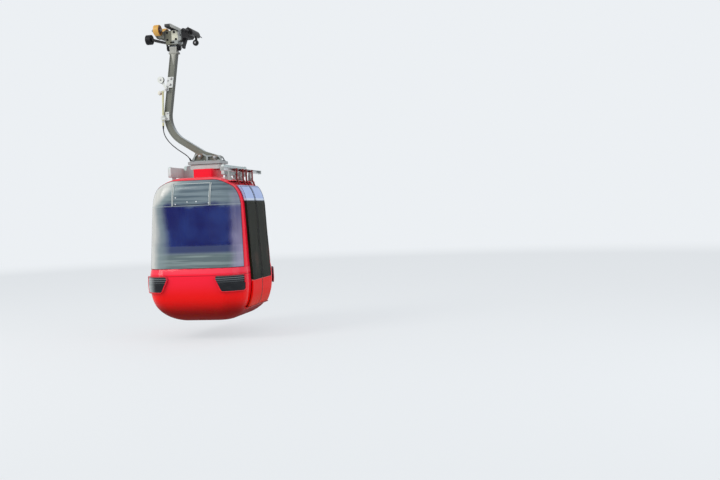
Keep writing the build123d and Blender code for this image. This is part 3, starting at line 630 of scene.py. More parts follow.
def leaf_paint():
    paint = Paint("door leaf paint", specular=0.012)
    height = paint.z
    up = paint.facing("Z")
    broad = paint.noise(1.6, 4)
    runs = paint.noise(2.2, 5, (9, 9, 0.7))
    red_part = paint.mix(broad, (0.84, 0.004, 0.004), (0.95, 0.01, 0.008))
    film = ((1 - height.step(-3.93, -3.6)) * (runs.step(0.42, 0.72) * 0.4 + 0.3)).clamp()
    dirty = paint.mix(film, red_part, (0.42, 0.07, 0.012))
    black_part = height.step(glass_foot_z - 0.0005, glass_foot_z + 0.0005)
    upright = paint.noise(1, 5, (30, 30, 1.4))
    # Round the glass the leaf takes the panes' colour, with their painted sky reflection and painted
    # highlight.
    framed = pane_color(paint, upright, height.step(bend_z - 0.012, bend_z + 0.012))
    # Above the leaf the straps are dark red: red paint darkened as painted shade under the roof edge.
    strap = height.step(strap_foot_z - 0.006, strap_foot_z)
    side_on = paint.x.step(0.62, 0.66)
    inside = 1 - paint.facing("X").step(-0.35, -0.05)
    # A pink line just under the sill: a painted highlight.
    sill_highlight = height.between(glass_foot_z - 0.012, glass_foot_z - 0.002, 0.003) * 0.6
    # Faces turned up are painted lighter pink: a painted sheen.
    with_top_sheen = paint.mix(up.step(0.3, 0.9) * 0.3, dirty, (0.86, 0.1, 0.12))
    lower = paint.mix(sill_highlight, with_top_sheen, (0.95, 0.26, 0.27))
    painted = paint.mix(black_part, lower, paint.mix(strap, framed, (0.2, 0.02, 0.018)))
    return paint.done(paint.mix((inside * side_on).clamp(), painted, liner_grey),
                      film * 0.4 + black_part * 0.16 + inside * 0.3 + 0.14,
                      (paint.noise(3.2, 2) * 3 + paint.noise(420, 1) * 0.12, 0.25, 0.0012),
                      Coat_Weight=(0.07 - film - inside * 0.07 - black_part * 0.07).clamp(),
                      Coat_Roughness=0.05)


leaf_red = leaf_paint()
for place in ("front", "rear"):
    finish(leaf_red, place + "_door_leaf")
    finish(black_rubber, place + "_door_seal")


# Door track and sill rail: drawn aluminium channels, the lower one painted red, on bent steel brackets
# that are bolted with stainless hexagon screws on washers.
def galvanised_steel():
    paint = Paint("galvanised steel")
    spangle = paint.node("ShaderNodeTexVoronoi", {}, {"Vector": paint.place, "Scale": 85}, 1)
    flake = paint.part(spangle, "X")
    weather = paint.noise(7, 6)
    runs = paint.noise(3, 5, (12, 12, 1)).step(0.52, 0.75)
    zinc = paint.mix((flake * 0.35 + weather * 0.65).clamp(), (0.27, 0.28, 0.27), (0.5, 0.52, 0.51))
    return paint.done(paint.mix(runs * 0.35, zinc, (0.14, 0.085, 0.05)),
                      weather * 0.25 + flake * 0.08 + 0.38, (paint.noise(160, 3), 0.15, 0.0006),
                      Metallic=(0.45 - runs * 0.35).clamp())


def bolt_shape():
    """A hexagon head with a chamfer, on its washer, 1 m across its flats, standing on z = 0."""
    head = add(bpy.ops.mesh.primitive_cylinder_add, vertices=6, radius=0.577, depth=0.45,
               location=(0, 0, 0.325))
    edit(head)
    pick(head, lambda face: face.normal.z > 0.9)
    bpy.ops.mesh.inset(thickness=0.07, depth=0.05)
    leave()
    washer = add(bpy.ops.mesh.primitive_cylinder_add, vertices=20, radius=0.85, depth=0.1,
                 location=(0, 0, 0.05))
    edit(washer)
    pick(washer, lambda face: face.normal.z > 0.9)
    bpy.ops.mesh.inset(thickness=0.05, depth=0.03)
    leave()
    joined([head, washer])
    bpy.ops.object.transform_apply(location=True, rotation=True, scale=True)
    return mesh_of(head)


galvanised = galvanised_steel()
zinc_coated = ("galvanised", galvanised)
bolt = bolt_shape()
track_x = 0.634
track_outer_x = 0.678
track_bolts_y = (-0.43, 0, 0.43)
sill_face_x = 0.812
sill_middle_z = -3.883
sill_facing = (0.84, 0, -0.54)
finish(aluminium, "door_track")
finish(red, "sill_rail")
finish(galvanised, "track_brackets")
track_bolts = [((track_x - 0.012, y, -1.975), (-1, 0, 0), 0.016) for y in track_bolts_y]
track_bolts += [((track_x + 0.012, y + shift, -2.124), (0, 0, 1), 0.013)
                for y in track_bolts_y for shift in (-0.0345, 0.0345)]
scatter("track_bolts", bolt, track_bolts, "cabin", "aluminium", aluminium)
sill_screws = [((sill_face_x, 0.1 * step, sill_middle_z), sill_facing, 0.008) for step in range(-4, 5)]
scatter("sill_rail_screws", screw, sill_screws, "cabin", *zinc_coated)


# End stops of the track: galvanised plugs pushed into the open ends of the channel.
def block(size, middle):
    """A box of a size about its middle."""
    piece = add(bpy.ops.mesh.primitive_cube_add, size=1, location=middle)
    piece.scale = size
    bpy.ops.object.transform_apply(location=True, rotation=True, scale=True)
    return piece


def round_off(offset, segments):
    """Rounds every edge of the mesh in edit mode."""
    bpy.ops.mesh.select_all(action="SELECT")
    bpy.ops.mesh.bevel(offset=offset, segments=segments, profile=0.5, affect="EDGES")


def plug(name, low, high, body, material, edge):
    """A block with rounded edges between two corners."""
    piece = block([b - a for a, b in zip(low, high)], [(a + b) / 2 for a, b in zip(low, high)])
    edit(piece)
    round_off(edge, 3)
    return settle(piece, name, body, material)


for place, way in both_ends:
    ends = sorted((way * 0.788, way * 0.806))
    plug(place + "_track_stop", (track_x - 0.002, ends[0], -2.002), (track_outer_x + 0.002, ends[1], -1.948),
         "cabin", galvanised, 0.004)


# Seats inside: a grey moulded shell across each end, with blue vinyl cushions blown up by their foam.
# Each cushion is simulated once, then copied, and has a piped seam round its middle.
def seat_shell():
    paint = Paint("seat shell")
    away = paint.vector("ABSOLUTE", paint.vector("SUBTRACT", paint.place, (cabin_x, 0, 0)))
    corner = paint.vector("MAXIMUM", paint.vector("SUBTRACT", away, (0.383, 0.45, 0)))
    outside = paint.length(paint.vector("MULTIPLY", corner, (1, 1, 0))).step(0.235, 0.242)
    mottle = paint.noise(30, 4)
    pale = paint.mix(mottle, (0.46, 0.52, 0.48), (0.58, 0.64, 0.6))
    dark_top = paint.z.step(-3.105, -3.085)
    inner = paint.mix(mottle, (0.05, 0.07, 0.16), (0.08, 0.1, 0.22))
    outer = paint.mix(dark_top, pale, (0.1, 0.12, 0.2))
    return paint.done(paint.mix(outside, inner, outer), mottle * 0.2 + 0.4,
                      (paint.noise(260, 2), 0.2, 0.0005))


def vinyl():
    paint = Paint("blue vinyl", specular=0.4)
    grain = paint.node("ShaderNodeTexVoronoi", {"feature": "DISTANCE_TO_EDGE"},
                       {"Vector": paint.place, "Scale": 420}).step(0, 0.35)
    wear = paint.noise(5, 4).step(0.45, 0.75)
    return paint.done(paint.mix(wear * 0.4, (0.022, 0.035, 0.16), (0.06, 0.08, 0.24)), wear * 0.15 + 0.42,
                      (grain, 0.35, 0.0005))


def stuffed(size, swell):
    """A cushion lying on z = 0: a soft box blown up by its filling, flat below."""
    piece = block(size, (0, 0, size[2] / 2))
    edit(piece)
    round_off(size[2] * 0.3, 3)
    leave()
    mesher = piece.modifiers.new("mesher", "REMESH")
    mesher.mode = "VOXEL"
    mesher.voxel_size = 0.009
    bpy.ops.object.modifier_apply(modifier="mesher")
    start = [point.co.copy() for point in piece.data.vertices]
    cloth = piece.modifiers.new("cloth", "CLOTH")
    cloth.settings.use_pressure = True
    cloth.settings.uniform_pressure_force = 4
    cloth.settings.effector_weights.gravity = 0
    cloth.point_cache.frame_start = 1
    cloth.point_cache.frame_end = 20
    for moment in range(1, 21):
        scene.frame_set(moment)
    bpy.ops.object.modifier_apply(modifier="cloth")
    scene.frame_set(1)
    for point, was in zip(piece.data.vertices, start):
        move = point.co - was
        if move.length > swell:
            point.co = was + move * (swell / move.length)
        point.co.z = max(point.co.z, 0)
    smooth = piece.modifiers.new("smooth", "SUBSURF")
    smooth.levels = smooth.render_levels = 1
    bpy.ops.object.modifier_apply(modifier="smooth")
    return piece


def piped(piece, z):
    """Adds a welt round a cushion at a height, and returns the mesh of both."""
    welt = copy_of(piece.data)
    edit(welt)
    cut(z, clear_inner=True, clear_outer=True)
    leave()
    bpy.ops.object.convert(target="CURVE")
    welt.data.bevel_depth = 0.0035
    welt.data.bevel_resolution = 2
    bpy.ops.object.convert(target="MESH")
    piece.select_set(True)
    bpy.context.view_layer.objects.active = piece
    bpy.ops.object.join()
    return mesh_of(piece)


shell_plastic = seat_shell()
blue_vinyl = vinyl()
seat_pad = piped(stuffed((0.47, 0.255, 0.034), 0.01), 0.02)
back_pad = piped(stuffed((0.47, 0.33, 0.022), 0.008), 0.012)
seat_top_z = -3.45
back_middle_z = -3.215
for place, way in both_ends:
    finish(shell_plastic, place + "_bench_seat", place + "_bench_back")
    for side, x in (("left", -0.245), ("right", 0.245)):
        for kind, pad, turn, y, z in (("cushion", seat_pad, 0, 0.49, seat_top_z),
                                      ("back_cushion", back_pad, 90, 0.6615, back_middle_z)):
            cushion = copy_of(pad)
            cushion.rotation_euler = (math.radians(turn) * way, 0, 0)
            cushion.location = (cabin_x + x, way * y, z)
            settle(cushion, f"{place}_{side}_{kind}", "cabin", blue_vinyl, 60)


# Inside below the seats: grey laminate panels, and a rubber floor with raised round studs.
studs_per_metre = 28


def laminate():
    paint = Paint("grey laminate")
    speck = paint.noise(90, 3).step(0.45, 0.6)
    return paint.done(paint.mix(speck, (0.3, 0.33, 0.34), (0.38, 0.41, 0.42)), paint.noise(6) * 0.2 + 0.35,
                      (paint.noise(180, 2), 0.1, 0.0004))


def studded_floor():
    paint = Paint("studded floor")
    rows = paint.vector("MULTIPLY", paint.place, (studs_per_metre, studs_per_metre, 0))
    middle = paint.vector("SUBTRACT", paint.vector("FRACTION", rows), (0.5, 0.5, 0))
    stud = 1 - paint.length(paint.vector("MULTIPLY", middle, (1, 1, 0))).step(0.26, 0.34)
    grit = paint.noise(60, 4)
    gritty = paint.mix(grit, (0.035, 0.035, 0.038), (0.075, 0.072, 0.07))
    return paint.done(paint.mix(stud * 0.6, gritty, (0.11, 0.11, 0.115)), 0.75 - stud * 0.25,
                      (stud, 0.6, 0.0025))


finish(studded_floor(), "floor_panel")
finish(laminate(), "front_bench_panel", "rear_bench_panel")


# Red roof block: a welded and painted box that takes the hanger's load into the frame, with the pale
# damping pads bonded on its top.
pad_joint_z = -1.871


def damping_pad():
    paint = Paint("pale damping pad")
    stain = paint.noise(16, 5)
    joint = paint.z.step(pad_joint_z - 0.0005, pad_joint_z + 0.0005)
    green = paint.noise(5, 4).step(0.5, 0.75)
    pale = paint.mix(stain, (0.46, 0.52, 0.5), (0.62, 0.68, 0.66))
    stained = paint.mix(green * 0.4, pale, (0.42, 0.41, 0.34))
    return paint.done(paint.mix(joint, stained, (0.03, 0.03, 0.035)), stain * 0.2 + 0.5,
                      (paint.noise(220, 3), 0.2, 0.0006))


finish(red, "roof_block")
finish(damping_pad(), "rubber_pads")


# Roof boards: grey plastic fenders along both sides of the roof, weathered by rain, with a white
# lifting knob near each end and a row of fixing screws over each foot.
def board_plastic():
    paint = Paint("weathered grey board")
    # The end faces are painted paler: a painted highlight.
    ends = abs(paint.y).step(0.468, 0.473)
    runs = paint.noise(1.6, 6, (10, 10, 1.2))
    cloud = paint.noise(4, 5)
    up = paint.facing("Z")
    face = paint.mix(cloud, (0.45, 0.56, 0.555), (0.57, 0.665, 0.655))
    base = paint.mix(ends, face, (0.64, 0.67, 0.66))
    mossy = paint.mix(runs.step(0.5, 0.72) * 0.25, base, (0.24, 0.28, 0.25))
    low = (1 - paint.z.step(-2.06, -1.98)) * 0.3
    shaded = paint.mix(low, mossy, (0.17, 0.18, 0.2))
    # Faces turned up are painted pale blue grey: a painted highlight.
    return paint.done(paint.mix(up.step(0.5, 1) * 0.6, shaded, (0.68, 0.73, 0.74)), runs * 0.25 + 0.36,
                      (paint.noise(90, 4) + cloud * 2, 0.25, 0.001))


def white_paint(name, dull, clean):
    paint = Paint(name)
    stain = paint.noise(24, 6)
    green = paint.noise(8, 4, (1, 1, 0.4)).step(0.5, 0.74)
    return paint.done(paint.mix(green * 0.45, paint.mix(stain, dull, clean), (0.42, 0.46, 0.34)),
                      stain * 0.25 + 0.35, (paint.noise(150, 3), 0.2, 0.0006))


board_top_z = -1.906
foot_bolt_z = -2.02
board_grey = board_plastic()
weathered_white = white_paint("white weathered plastic", (0.56, 0.58, 0.55), (0.7, 0.71, 0.69))
for side, x, way in (("left", -0.236, -1), ("right", 0.544, 1)):
    node = side + "_roof_board"
    finish(board_grey, node)
    scatter(node + "_knobs", screw, [((x, y, board_top_z), (0, 0, 1), 0.03) for y in (-0.44, 0.455)],
            "cabin", "white_plastic", weathered_white)
    scatter(node + "_bolts", bolt, [((x + way * 0.02, y + shift, foot_bolt_z), (way, 0, 0), 0.013)
                                    for y in (-0.32, 0, 0.32) for shift in (-0.025, 0.025)],
            "cabin", *zinc_coated)


# Suspension cradle: a galvanised plate with two bow shaped sides, held on the pads by bolts. Two pins
# with brown rubber bushes hold the foot of the hanger in it.
def pin_metal():
    paint = Paint("worn pin steel", metallic=0.7)
    wear = paint.noise(40, 5)
    return paint.done(paint.mix(wear.step(0.5, 0.75) * 0.6, (0.34, 0.34, 0.35), (0.16, 0.1, 0.06)),
                      wear * 0.35 + 0.28, (paint.noise(300, 2), 0.1, 0.0003))


def bush_rubber():
    paint = Paint("brown bush rubber")
    crust = paint.noise(60, 6)
    return paint.done(paint.mix(crust, (0.07, 0.035, 0.018), (0.22, 0.13, 0.07)), crust * 0.2 + 0.7,
                      (crust, 0.5, 0.001))


worn_steel = pin_metal()
pins = ("pin_steel", worn_steel)
cradle_pin_places = ((0.06, -1.745), (0.285, -1.772))
cradle_plate_z = -1.8252


def cradle_steel():
    paint = Paint("cradle steel", metallic=0.3)
    weather = paint.noise(9, 6)
    near = [1 - (paint.distance((x, 0, z), (1, 0, 1)) + weather * 0.03).step(0.045, 0.085)
            for x, z in cradle_pin_places]
    rust = (near[0] + near[1] * 0.6).clamp()
    zinc = paint.mix(weather, (0.24, 0.26, 0.26), (0.42, 0.45, 0.45))
    brown = paint.mix(paint.noise(50, 4), (0.1, 0.045, 0.02), (0.26, 0.14, 0.07))
    return paint.done(paint.mix(rust * 0.85, zinc, brown), weather * 0.2 + rust * 0.2 + 0.35,
                      (paint.noise(130, 4) + rust, 0.2, 0.0008))


finish(cradle_steel(), "suspension_cradle")
finish(worn_steel, "cradle_pins")
finish(bush_rubber(), "hanger_bushes")
scatter("cradle_pin_nuts", bolt, [((x, way * 0.0755, z), (0, way, 0), 0.025)
                                  for x, z in cradle_pin_places for way in (-1, 1)],
        "cabin", *pins)
scatter("cradle_bolts", bolt, [((cabin_x + x, y, cradle_plate_z), (0, 0, 1), 0.026)
                               for x in (-0.205, 0, 0.205) for y in (-0.135, 0.135)],
        "cabin", *zinc_coated)


# Hanger: a welded box arm, galvanised and gone grey brown, with recessed webs, bolted under the cast
# pivot head, with a pale tapered gusset on each face. Run-off from the grip has streaked its upper half.
def weathered_arm():
    paint = Paint("weathered arm")
    streak = paint.noise(2, 6, (16, 16, 1))
    blotch = paint.noise(9, 6)
    grime = paint.z.step(-1.2, -0.3) * streak.step(0.4, 0.66)
    moss = paint.noise(5, 5).step(0.5, 0.72) * (1 - paint.z.step(-1.75, -1.45))
    zinc = paint.mix(blotch, (0.115, 0.12, 0.098), (0.205, 0.21, 0.178))
    pale = paint.mix(paint.z.step(-0.3, -0.22), zinc, (0.34, 0.34, 0.31))
    aged = paint.mix(grime * 0.5, pale, (0.07, 0.068, 0.058))
    # Faces turned up are painted pale blue grey: a painted highlight.
    up = paint.facing("Z").step(0.1, 0.8)
    # The face turned to +X is painted near black: painted shade.
    far_side_shade = paint.facing("X").step(0.75, 0.95)
    shaded = paint.mix(far_side_shade * 0.6, paint.mix(moss * 0.6, aged, (0.17, 0.12, 0.08)), (0.04, 0.04, 0.036))
    return paint.done(paint.mix(up * 0.85, shaded, (0.5, 0.54, 0.57)), blotch * 0.3 + 0.4,
                      (blotch + paint.noise(60, 3) * 0.3, 0.2, 0.001), Metallic=(0.35 - grime * 0.3).clamp())


def cast_metal():
    paint = Paint("grey cast steel", specular=0.25)
    sand = paint.noise(260, 3)
    oil = paint.noise(8, 5)
    middle = paint.x
    black_end = (middle + oil * 0.02).step(-0.13, -0.115)
    low_end = 1 - (paint.z + oil * 0.02).step(-0.135, -0.115)
    cream = middle.between(-0.275, -0.19, 0.008) * paint.z.step(-0.085, -0.07)
    pale = middle.step(-0.285, -0.275) * paint.z.step(-0.135, -0.125) * 0.8
    olive = paint.mix(oil, (0.115, 0.115, 0.085), (0.2, 0.2, 0.155))
    grey = paint.mix(cream, paint.mix(pale, olive, (0.3, 0.32, 0.32)),
                     paint.mix(oil, (0.46, 0.46, 0.37), (0.66, 0.65, 0.54)))
    soiled = paint.mix(oil.step(0.5, 0.72) * 0.45, grey, (0.055, 0.05, 0.045))
    blacked = black_end.maths("MAXIMUM", low_end)
    return paint.done(paint.mix(blacked, soiled, (0.007, 0.007, 0.009)), oil * 0.25 + 0.4,
                      (sand + oil * 2, 0.3, 0.0008), Metallic=(0.25 - blacked).clamp())


def pale_steel():
    paint = Paint("pale gusset", metallic=0.2)
    stain = paint.noise(14, 6)
    return paint.done(paint.mix(stain, (0.22, 0.22, 0.19), (0.4, 0.4, 0.36)), stain * 0.2 + 0.4,
                      (paint.noise(120, 4), 0.15, 0.0008))


pivot_x = -0.28
gusset_x = -0.281
gusset_y = 0.0402
gusset_z = -0.345
gusset_steel = pale_steel()
finish(weathered_arm(), "hanger_arm", "hanger_head")
for name, face in (("front_gusset", -1), ("rear_gusset", 1)):
    gusset = block((0.062, 0.006, 0.16), (gusset_x, face * gusset_y, gusset_z))
    edit(gusset)
    pick(gusset, lambda side: side.normal.z < -0.9)
    bpy.ops.transform.resize(value=(0.16, 1, 1), center_override=(gusset_x - 0.003, 0, gusset_z))
    round_off(0.0015, 2)
    settle(gusset, name, "cabin", gusset_steel)
scatter("hanger_flange_bolts", bolt, [((pivot_x + x, y, -0.243), (0, 0, 1), 0.016)
                                      for x in (-0.0605, 0.0605) for y in (-0.026, 0.026)],
        "cabin", *pins)


# Door gear on the arm: a white bracket and guide plate, the lever with its rubber tyred roller and
# cream ball knob, and the rod that it pulls. The gear is worked by rails in the stations.
gear_y = -0.072
roller_at = (-0.473, gear_y, -0.628)
knob_at = Vector((-0.496, gear_y - 0.004, -0.813))


def lever_finish():
    paint = Paint("door lever")
    away = paint.distance(roller_at, (1, 0, 1))
    facing = abs(paint.facing("Y")).step(0.5, 0.9)
    stain = paint.noise(28, 5)
    white = paint.mix(stain, (0.6, 0.62, 0.57), (0.72, 0.73, 0.7))
    tyre = away.between(0.02, 0.06, 0.0015) * (1 - facing)
    hub = 1 - away.step(0.012, 0.014)
    return paint.done(paint.mix((tyre + hub).clamp(), white, (0.02, 0.018, 0.018)),
                      stain * 0.2 + tyre * 0.2 + 0.3, (paint.noise(200, 3), 0.15, 0.0005))


def knob_plastic():
    paint = Paint("cream knob")
    spot = 1 - paint.distance(knob_at + Vector((0.022, -0.018, -0.016))).step(0.01, 0.02)
    stain = paint.noise(40, 4)
    cream = paint.mix(stain, (0.66, 0.62, 0.52), (0.8, 0.77, 0.68))
    return paint.done(paint.mix(spot * 0.8, cream, (0.26, 0.12, 0.06)), stain * 0.2 + 0.25)


finish(weathered_white, "lever_bracket", "rod_guide")
finish(white_paint("yellowed rod", (0.46, 0.43, 0.22), (0.66, 0.62, 0.38)), "door_rod")
finish(lever_finish(), "door_lever")
ball = add(bpy.ops.mesh.primitive_uv_sphere_add, segments=32, ring_count=20, radius=0.0325, location=knob_at)
bpy.ops.object.transform_apply(location=True, rotation=True, scale=True)
edit(ball)
pick(ball, lambda face: (face.center - knob_at).normalized().y < -0.95)
bpy.ops.mesh.inset(thickness=0.001, depth=-0.0015)
settle(ball, "lever_ball_knob", "cabin", knob_plastic(), 40)
rod_way = Vector((-0.02, 0, -0.497)).normalized()
rod_start = Vector((-0.452, gear_y, -0.788))
scatter("rod_nuts", bolt, [(rod_start + rod_way * 0.4255, rod_way, 0.036),
                           (rod_start + rod_way * 0.367, -rod_way, 0.036)],
        "cabin", "white_plastic", weathered_white)
gear_bolts = {
    "bracket_bolts": (((-0.322, -0.0575, -0.615), 0.022), ((-0.342, -0.0575, -0.7), 0.022),
                      ((-0.372, -0.0575, -0.64), 0.014), ((-0.385, -0.0575, -0.725), 0.014)),
    "lever_pivot_nut": (((-0.392, -0.0795, -0.765), 0.024), ((-0.473, -0.0945, -0.628), 0.016)),
    "guide_bolts": (((-0.405, -0.0575, -1.105), 0.014), ((-0.418, -0.0575, -1.18), 0.014)),
}
for name, places in gear_bolts.items():
    scatter(name, bolt, [(point, (0, -1, 0), size) for point, size in places], "cabin", *pins)


# Door cable: a black sheathed pull cable from the rod down to the gland on the cradle, where it goes
# to the door drive. A tapered sleeve holds it at each end.
cable_diameter = 0.014
cable_points = (
    (-0.472, gear_y, -1.2853), (-0.4747, gear_y, -1.3508), (-0.454, gear_y, -1.428), (-0.409, gear_y, -1.5),
    (-0.348, gear_y, -1.566), (-0.275, gear_y, -1.627), (-0.2, -0.077, -1.678), (-0.141, -0.084, -1.717),
    (-0.098, -0.091, -1.753), (-0.07, -0.097, -1.797),
)


def sheath():
    paint = Paint("cable sheath")
    scuff = paint.noise(45, 5).step(0.5, 0.75)
    return paint.done(paint.mix(scuff * 0.5, (0.01, 0.01, 0.011), (0.06, 0.058, 0.055)), scuff * 0.25 + 0.38,
                      (paint.noise(500, 2), 0.15, 0.0004))


route = bpy.data.curves.new("door_cable_line", "CURVE")
route.dimensions = "3D"
spline = route.splines.new("NURBS")
spline.points.add(len(cable_points) - 1)
for point, place in zip(spline.points, cable_points):
    point.co = (*place, 1)
spline.order_u = 3
spline.use_endpoint_u = True
spline.resolution_u = 16
route.bevel_depth = cable_diameter / 2
route.bevel_resolution = 4
route.use_fill_caps = True
route.materials.append(sheath())
cable = bpy.data.objects.new("door_pull_cable", route)
scene.collection.objects.link(cable)
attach(cable, "cabin")
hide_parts("door_cable")


def sleeve(name, start, end, wide, narrow):
    """A tapered rubber sleeve with rings, wide at its start."""
    start, end = Vector(start), Vector(end)
    length = (end - start).length
    piece = add(bpy.ops.mesh.primitive_cone_add, vertices=24, radius1=wide, radius2=narrow, depth=length)
    edit(piece)
    for ring in (-0.3, -0.15, 0, 0.15, 0.3):
        for edge in (-0.02, 0.02):
            cut((ring + edge) * length)
    pick(piece, lambda face: abs(face.normal.z) < 0.7 and face.area < 0.00001)
    bpy.ops.mesh.extrude_region_shrink_fatten(TRANSFORM_OT_shrink_fatten={"value": 0.0012})
    leave()
    piece.matrix_world = (Matrix.Translation((start + end) / 2)
                          @ (end - start).to_track_quat("Z", "Y").to_matrix().to_4x4())
    return settle(piece, name, "cabin", black_rubber)


sleeve("cable_top_sleeve", cable_points[0], (-0.4737, gear_y, -1.327), 0.0125, 0.0085)
sleeve("cable_foot_sleeve", cable_points[-1], (-0.0865, -0.0935, -1.7677), 0.0135, 0.0085)


# Grip: cast body on the rope with its cover plates, a pin for the moving jaw and one for the hanger,
# oily black where it is worked, and grey where it is only weathered.
def oiled_steel():
    paint = Paint("black oiled steel", specular=0.2)
    oil = paint.noise(14, 5)
    rope_way = paint.distance((0, 0, 0), (1, 0, 1))
    bright = (1 - rope_way.step(0.0206, 0.024)) * 0.8
    rub = paint.noise(90, 4).step(0.66, 0.8) * 0.25
    black = paint.mix(oil, (0.004, 0.004, 0.006), (0.016, 0.015, 0.015))
    return paint.done(paint.mix((bright + rub).clamp(), black, (0.32, 0.32, 0.33)), oil * 0.3 + 0.26,
                      (paint.noise(240, 3) + oil, 0.25, 0.0007), Metallic=(bright + 0.08).clamp())


black_steel = oiled_steel()
finish(cast_metal(), "grip_body")
finish(worn_steel, "jaw_hinge_pin")
finish(black_steel, "hanger_pin", "grip_lever", "rope_tongues", "cable_gland")
cheek_y = 0.075
scatter("hinge_pin_locks", bolt, [((x, way * cheek_y, z), (0, way, 0), 0.013)
                                  for x, z in ((-0.192, 0.052), (-0.148, -0.012)) for way in (-1, 1)],
        "grip", "black_steel", black_steel)
cheek_places = ((-0.345, 0.035), (-0.24, 0.035), (-0.345, -0.065), (-0.215, -0.065))
scatter("cheek_bolts", bolt, [((x, way * cheek_y, z), (0, way, 0), 0.02) for x, z in cheek_places
                              for way in (-1, 1)], "grip", "black_steel", black_steel)
scatter("tongue_screws", screw, [((0, way * y, 0.0665), (0, 0, 1), 0.012)
                                 for y in (0.115, 0.128) for way in (-1, 1)],
        "grip_lever", *pins)


# Spring housing: a cast bell with a bolted flange and eight stiffening ribs. It carries the bracket of
# the two running wheels, with a nut on each axle end.
bell_z = 0.008
ring_radius = 0.0765


def around(*degrees):
    """Points on a circle of 1 m, at angles."""
    return [(math.cos(math.radians(a)), math.sin(math.radians(a))) for a in degrees]


bell_ring = around(*range(0, 360, 45))


def housing_metal():
    paint = Paint("cast housing", metallic=0.25)
    oil = paint.noise(7, 5)
    rim = paint.x.step(-0.398, -0.394)
    grey = paint.mix(oil, (0.17, 0.18, 0.15), (0.33, 0.34, 0.3))
    oily = paint.mix(oil.step(0.5, 0.7) * 0.5, grey, (0.07, 0.06, 0.05))
    return paint.done(paint.mix(rim * 0.8, oily, (0.03, 0.03, 0.03)), oil * 0.25 + 0.42,
                      (paint.noise(260, 3) + oil * 2, 0.3, 0.0008))


def rib_shape():
    """A rib 1 m long along X that stands on z = 0 and tapers to its far end."""
    piece = block((1, 1, 1), (0, 0, 0.5))
    edit(piece)
    pick(piece, lambda face: face.normal.x < -0.9)
    bpy.ops.transform.resize(value=(1, 0.6, 0.25), center_override=(-0.5, 0, 0))
    round_off(0.04, 2)
    leave()
    return mesh_of(piece)


housing_grey = housing_metal()
finish(housing_grey, "spring_housing")
rib = rib_shape()
ribs = []
for across, up in bell_ring:
    copy = copy_of(rib)
    turn = Matrix.Rotation(math.atan2(across, up), 4, "X").inverted()
    copy.matrix_world = (Matrix.Translation((-0.428, across * 0.05, bell_z + up * 0.05)) @ turn
                         @ Matrix.Diagonal((0.068, 0.01, 0.026, 1)))
    ribs.append(copy)
settle(joined(ribs), "bell_ribs", "grip", housing_grey)
scatter("flange_bolts", bolt, [((-0.3922, sign * a * ring_radius, bell_z + sign * b * ring_radius),
                                (-1, 0, 0), 0.009)
                               for a, b in around(22.5, 67.5, 112.5, 157.5) for sign in (-1, 1)],
        "grip", *pins)


# Running wheels: yellow plastic tyres on rusty cast hubs, with a bolt circle in the hub. They carry
# the grip along the rails of the stations while it is off the rope.
wheel_y = 0.13
wheel_z = 0.066
wheel_low_x = -0.503
wheel_high_x = -0.423
axle_end_x = -0.532


def wheel_finish(name, y):
    paint = Paint(name)
    away = paint.distance((0, y, wheel_z), (0, 1, 1))
    wear = paint.noise(30, 5)
    tread = paint.x.between(-0.49, -0.436, 0.006) * away.step(0.072, 0.076)
    yellow = paint.mix(wear, (0.7, 0.31, 0.03), (0.86, 0.49, 0.08))
    rolled = paint.mix(tread * 0.45, yellow, (0.42, 0.27, 0.08))
    hub = 1 - away.step(0.0585, 0.0595)
    rust = paint.mix(wear, (0.045, 0.016, 0.01), (0.17, 0.05, 0.02))
    # The face turned to +X is painted dark rust brown: painted shade.
    shaded_side_face = paint.facing("X").step(0.4, 0.9) * 0.75
    return paint.done(paint.mix(hub.maths("MAXIMUM", shaded_side_face), rolled, rust),
                      wear * 0.25 + hub * 0.2 + 0.32, (paint.noise(200, 3) + hub * wear, 0.25, 0.0008))


for place, way in both_ends:
    node = "running_wheel_" + place
    finish(wheel_finish("wheel " + place, way * wheel_y), node)
    hub_bolts = []
    for across, up in bell_ring[::2]:
        spot = (way * wheel_y + across * 0.0435, wheel_z + up * 0.0435)
        hub_bolts.append(((wheel_high_x - 0.009, *spot), (1, 0, 0), 0.011))
        hub_bolts.append(((wheel_low_x + 0.009, *spot), (-1, 0, 0), 0.011))
    scatter(node + "_bolts", bolt, hub_bolts, node, *pins)
scatter("axle_nuts", bolt, [((x, way * wheel_y, wheel_z), (side, 0, 0), 0.026) for way in (-1, 1)
                            for x, side in ((wheel_high_x + 0.004, 1), (axle_end_x, -1))], "grip", *pins)


# Lever roller and guide roller: black rubber tyres with a bright nut on each axle end.
def roller_finish():
    paint = Paint("roller tyre", specular=0.2)
    wear = paint.noise(40, 5)
    dusty = wear.step(0.45, 0.75) * 0.5
    return paint.done(paint.mix(dusty, (0.004, 0.004, 0.006), (0.035, 0.034, 0.033)), wear * 0.3 + 0.35,
                      (paint.noise(300, 3), 0.25, 0.0006))


finish(roller_finish(), "lever_roller", "guide_roller")
roller_z = -0.03
scatter("roller_nut", bolt, [((-0.705, 0, roller_z), (-1, 0, 0), 0.024)], "grip_lever", *pins)
scatter("guide_roller_nut", bolt, [((0.052, -0.023, -0.125), (0, -1, 0), 0.018)],
        "grip_lever", *pins)
scatter("lever_roller_bolts", bolt, [((-0.686, across * 0.04, roller_z + up * 0.04), (-1, 0, 0), 0.01)
                                     for across, up in bell_ring[::2]], "lever_roller", *pins)


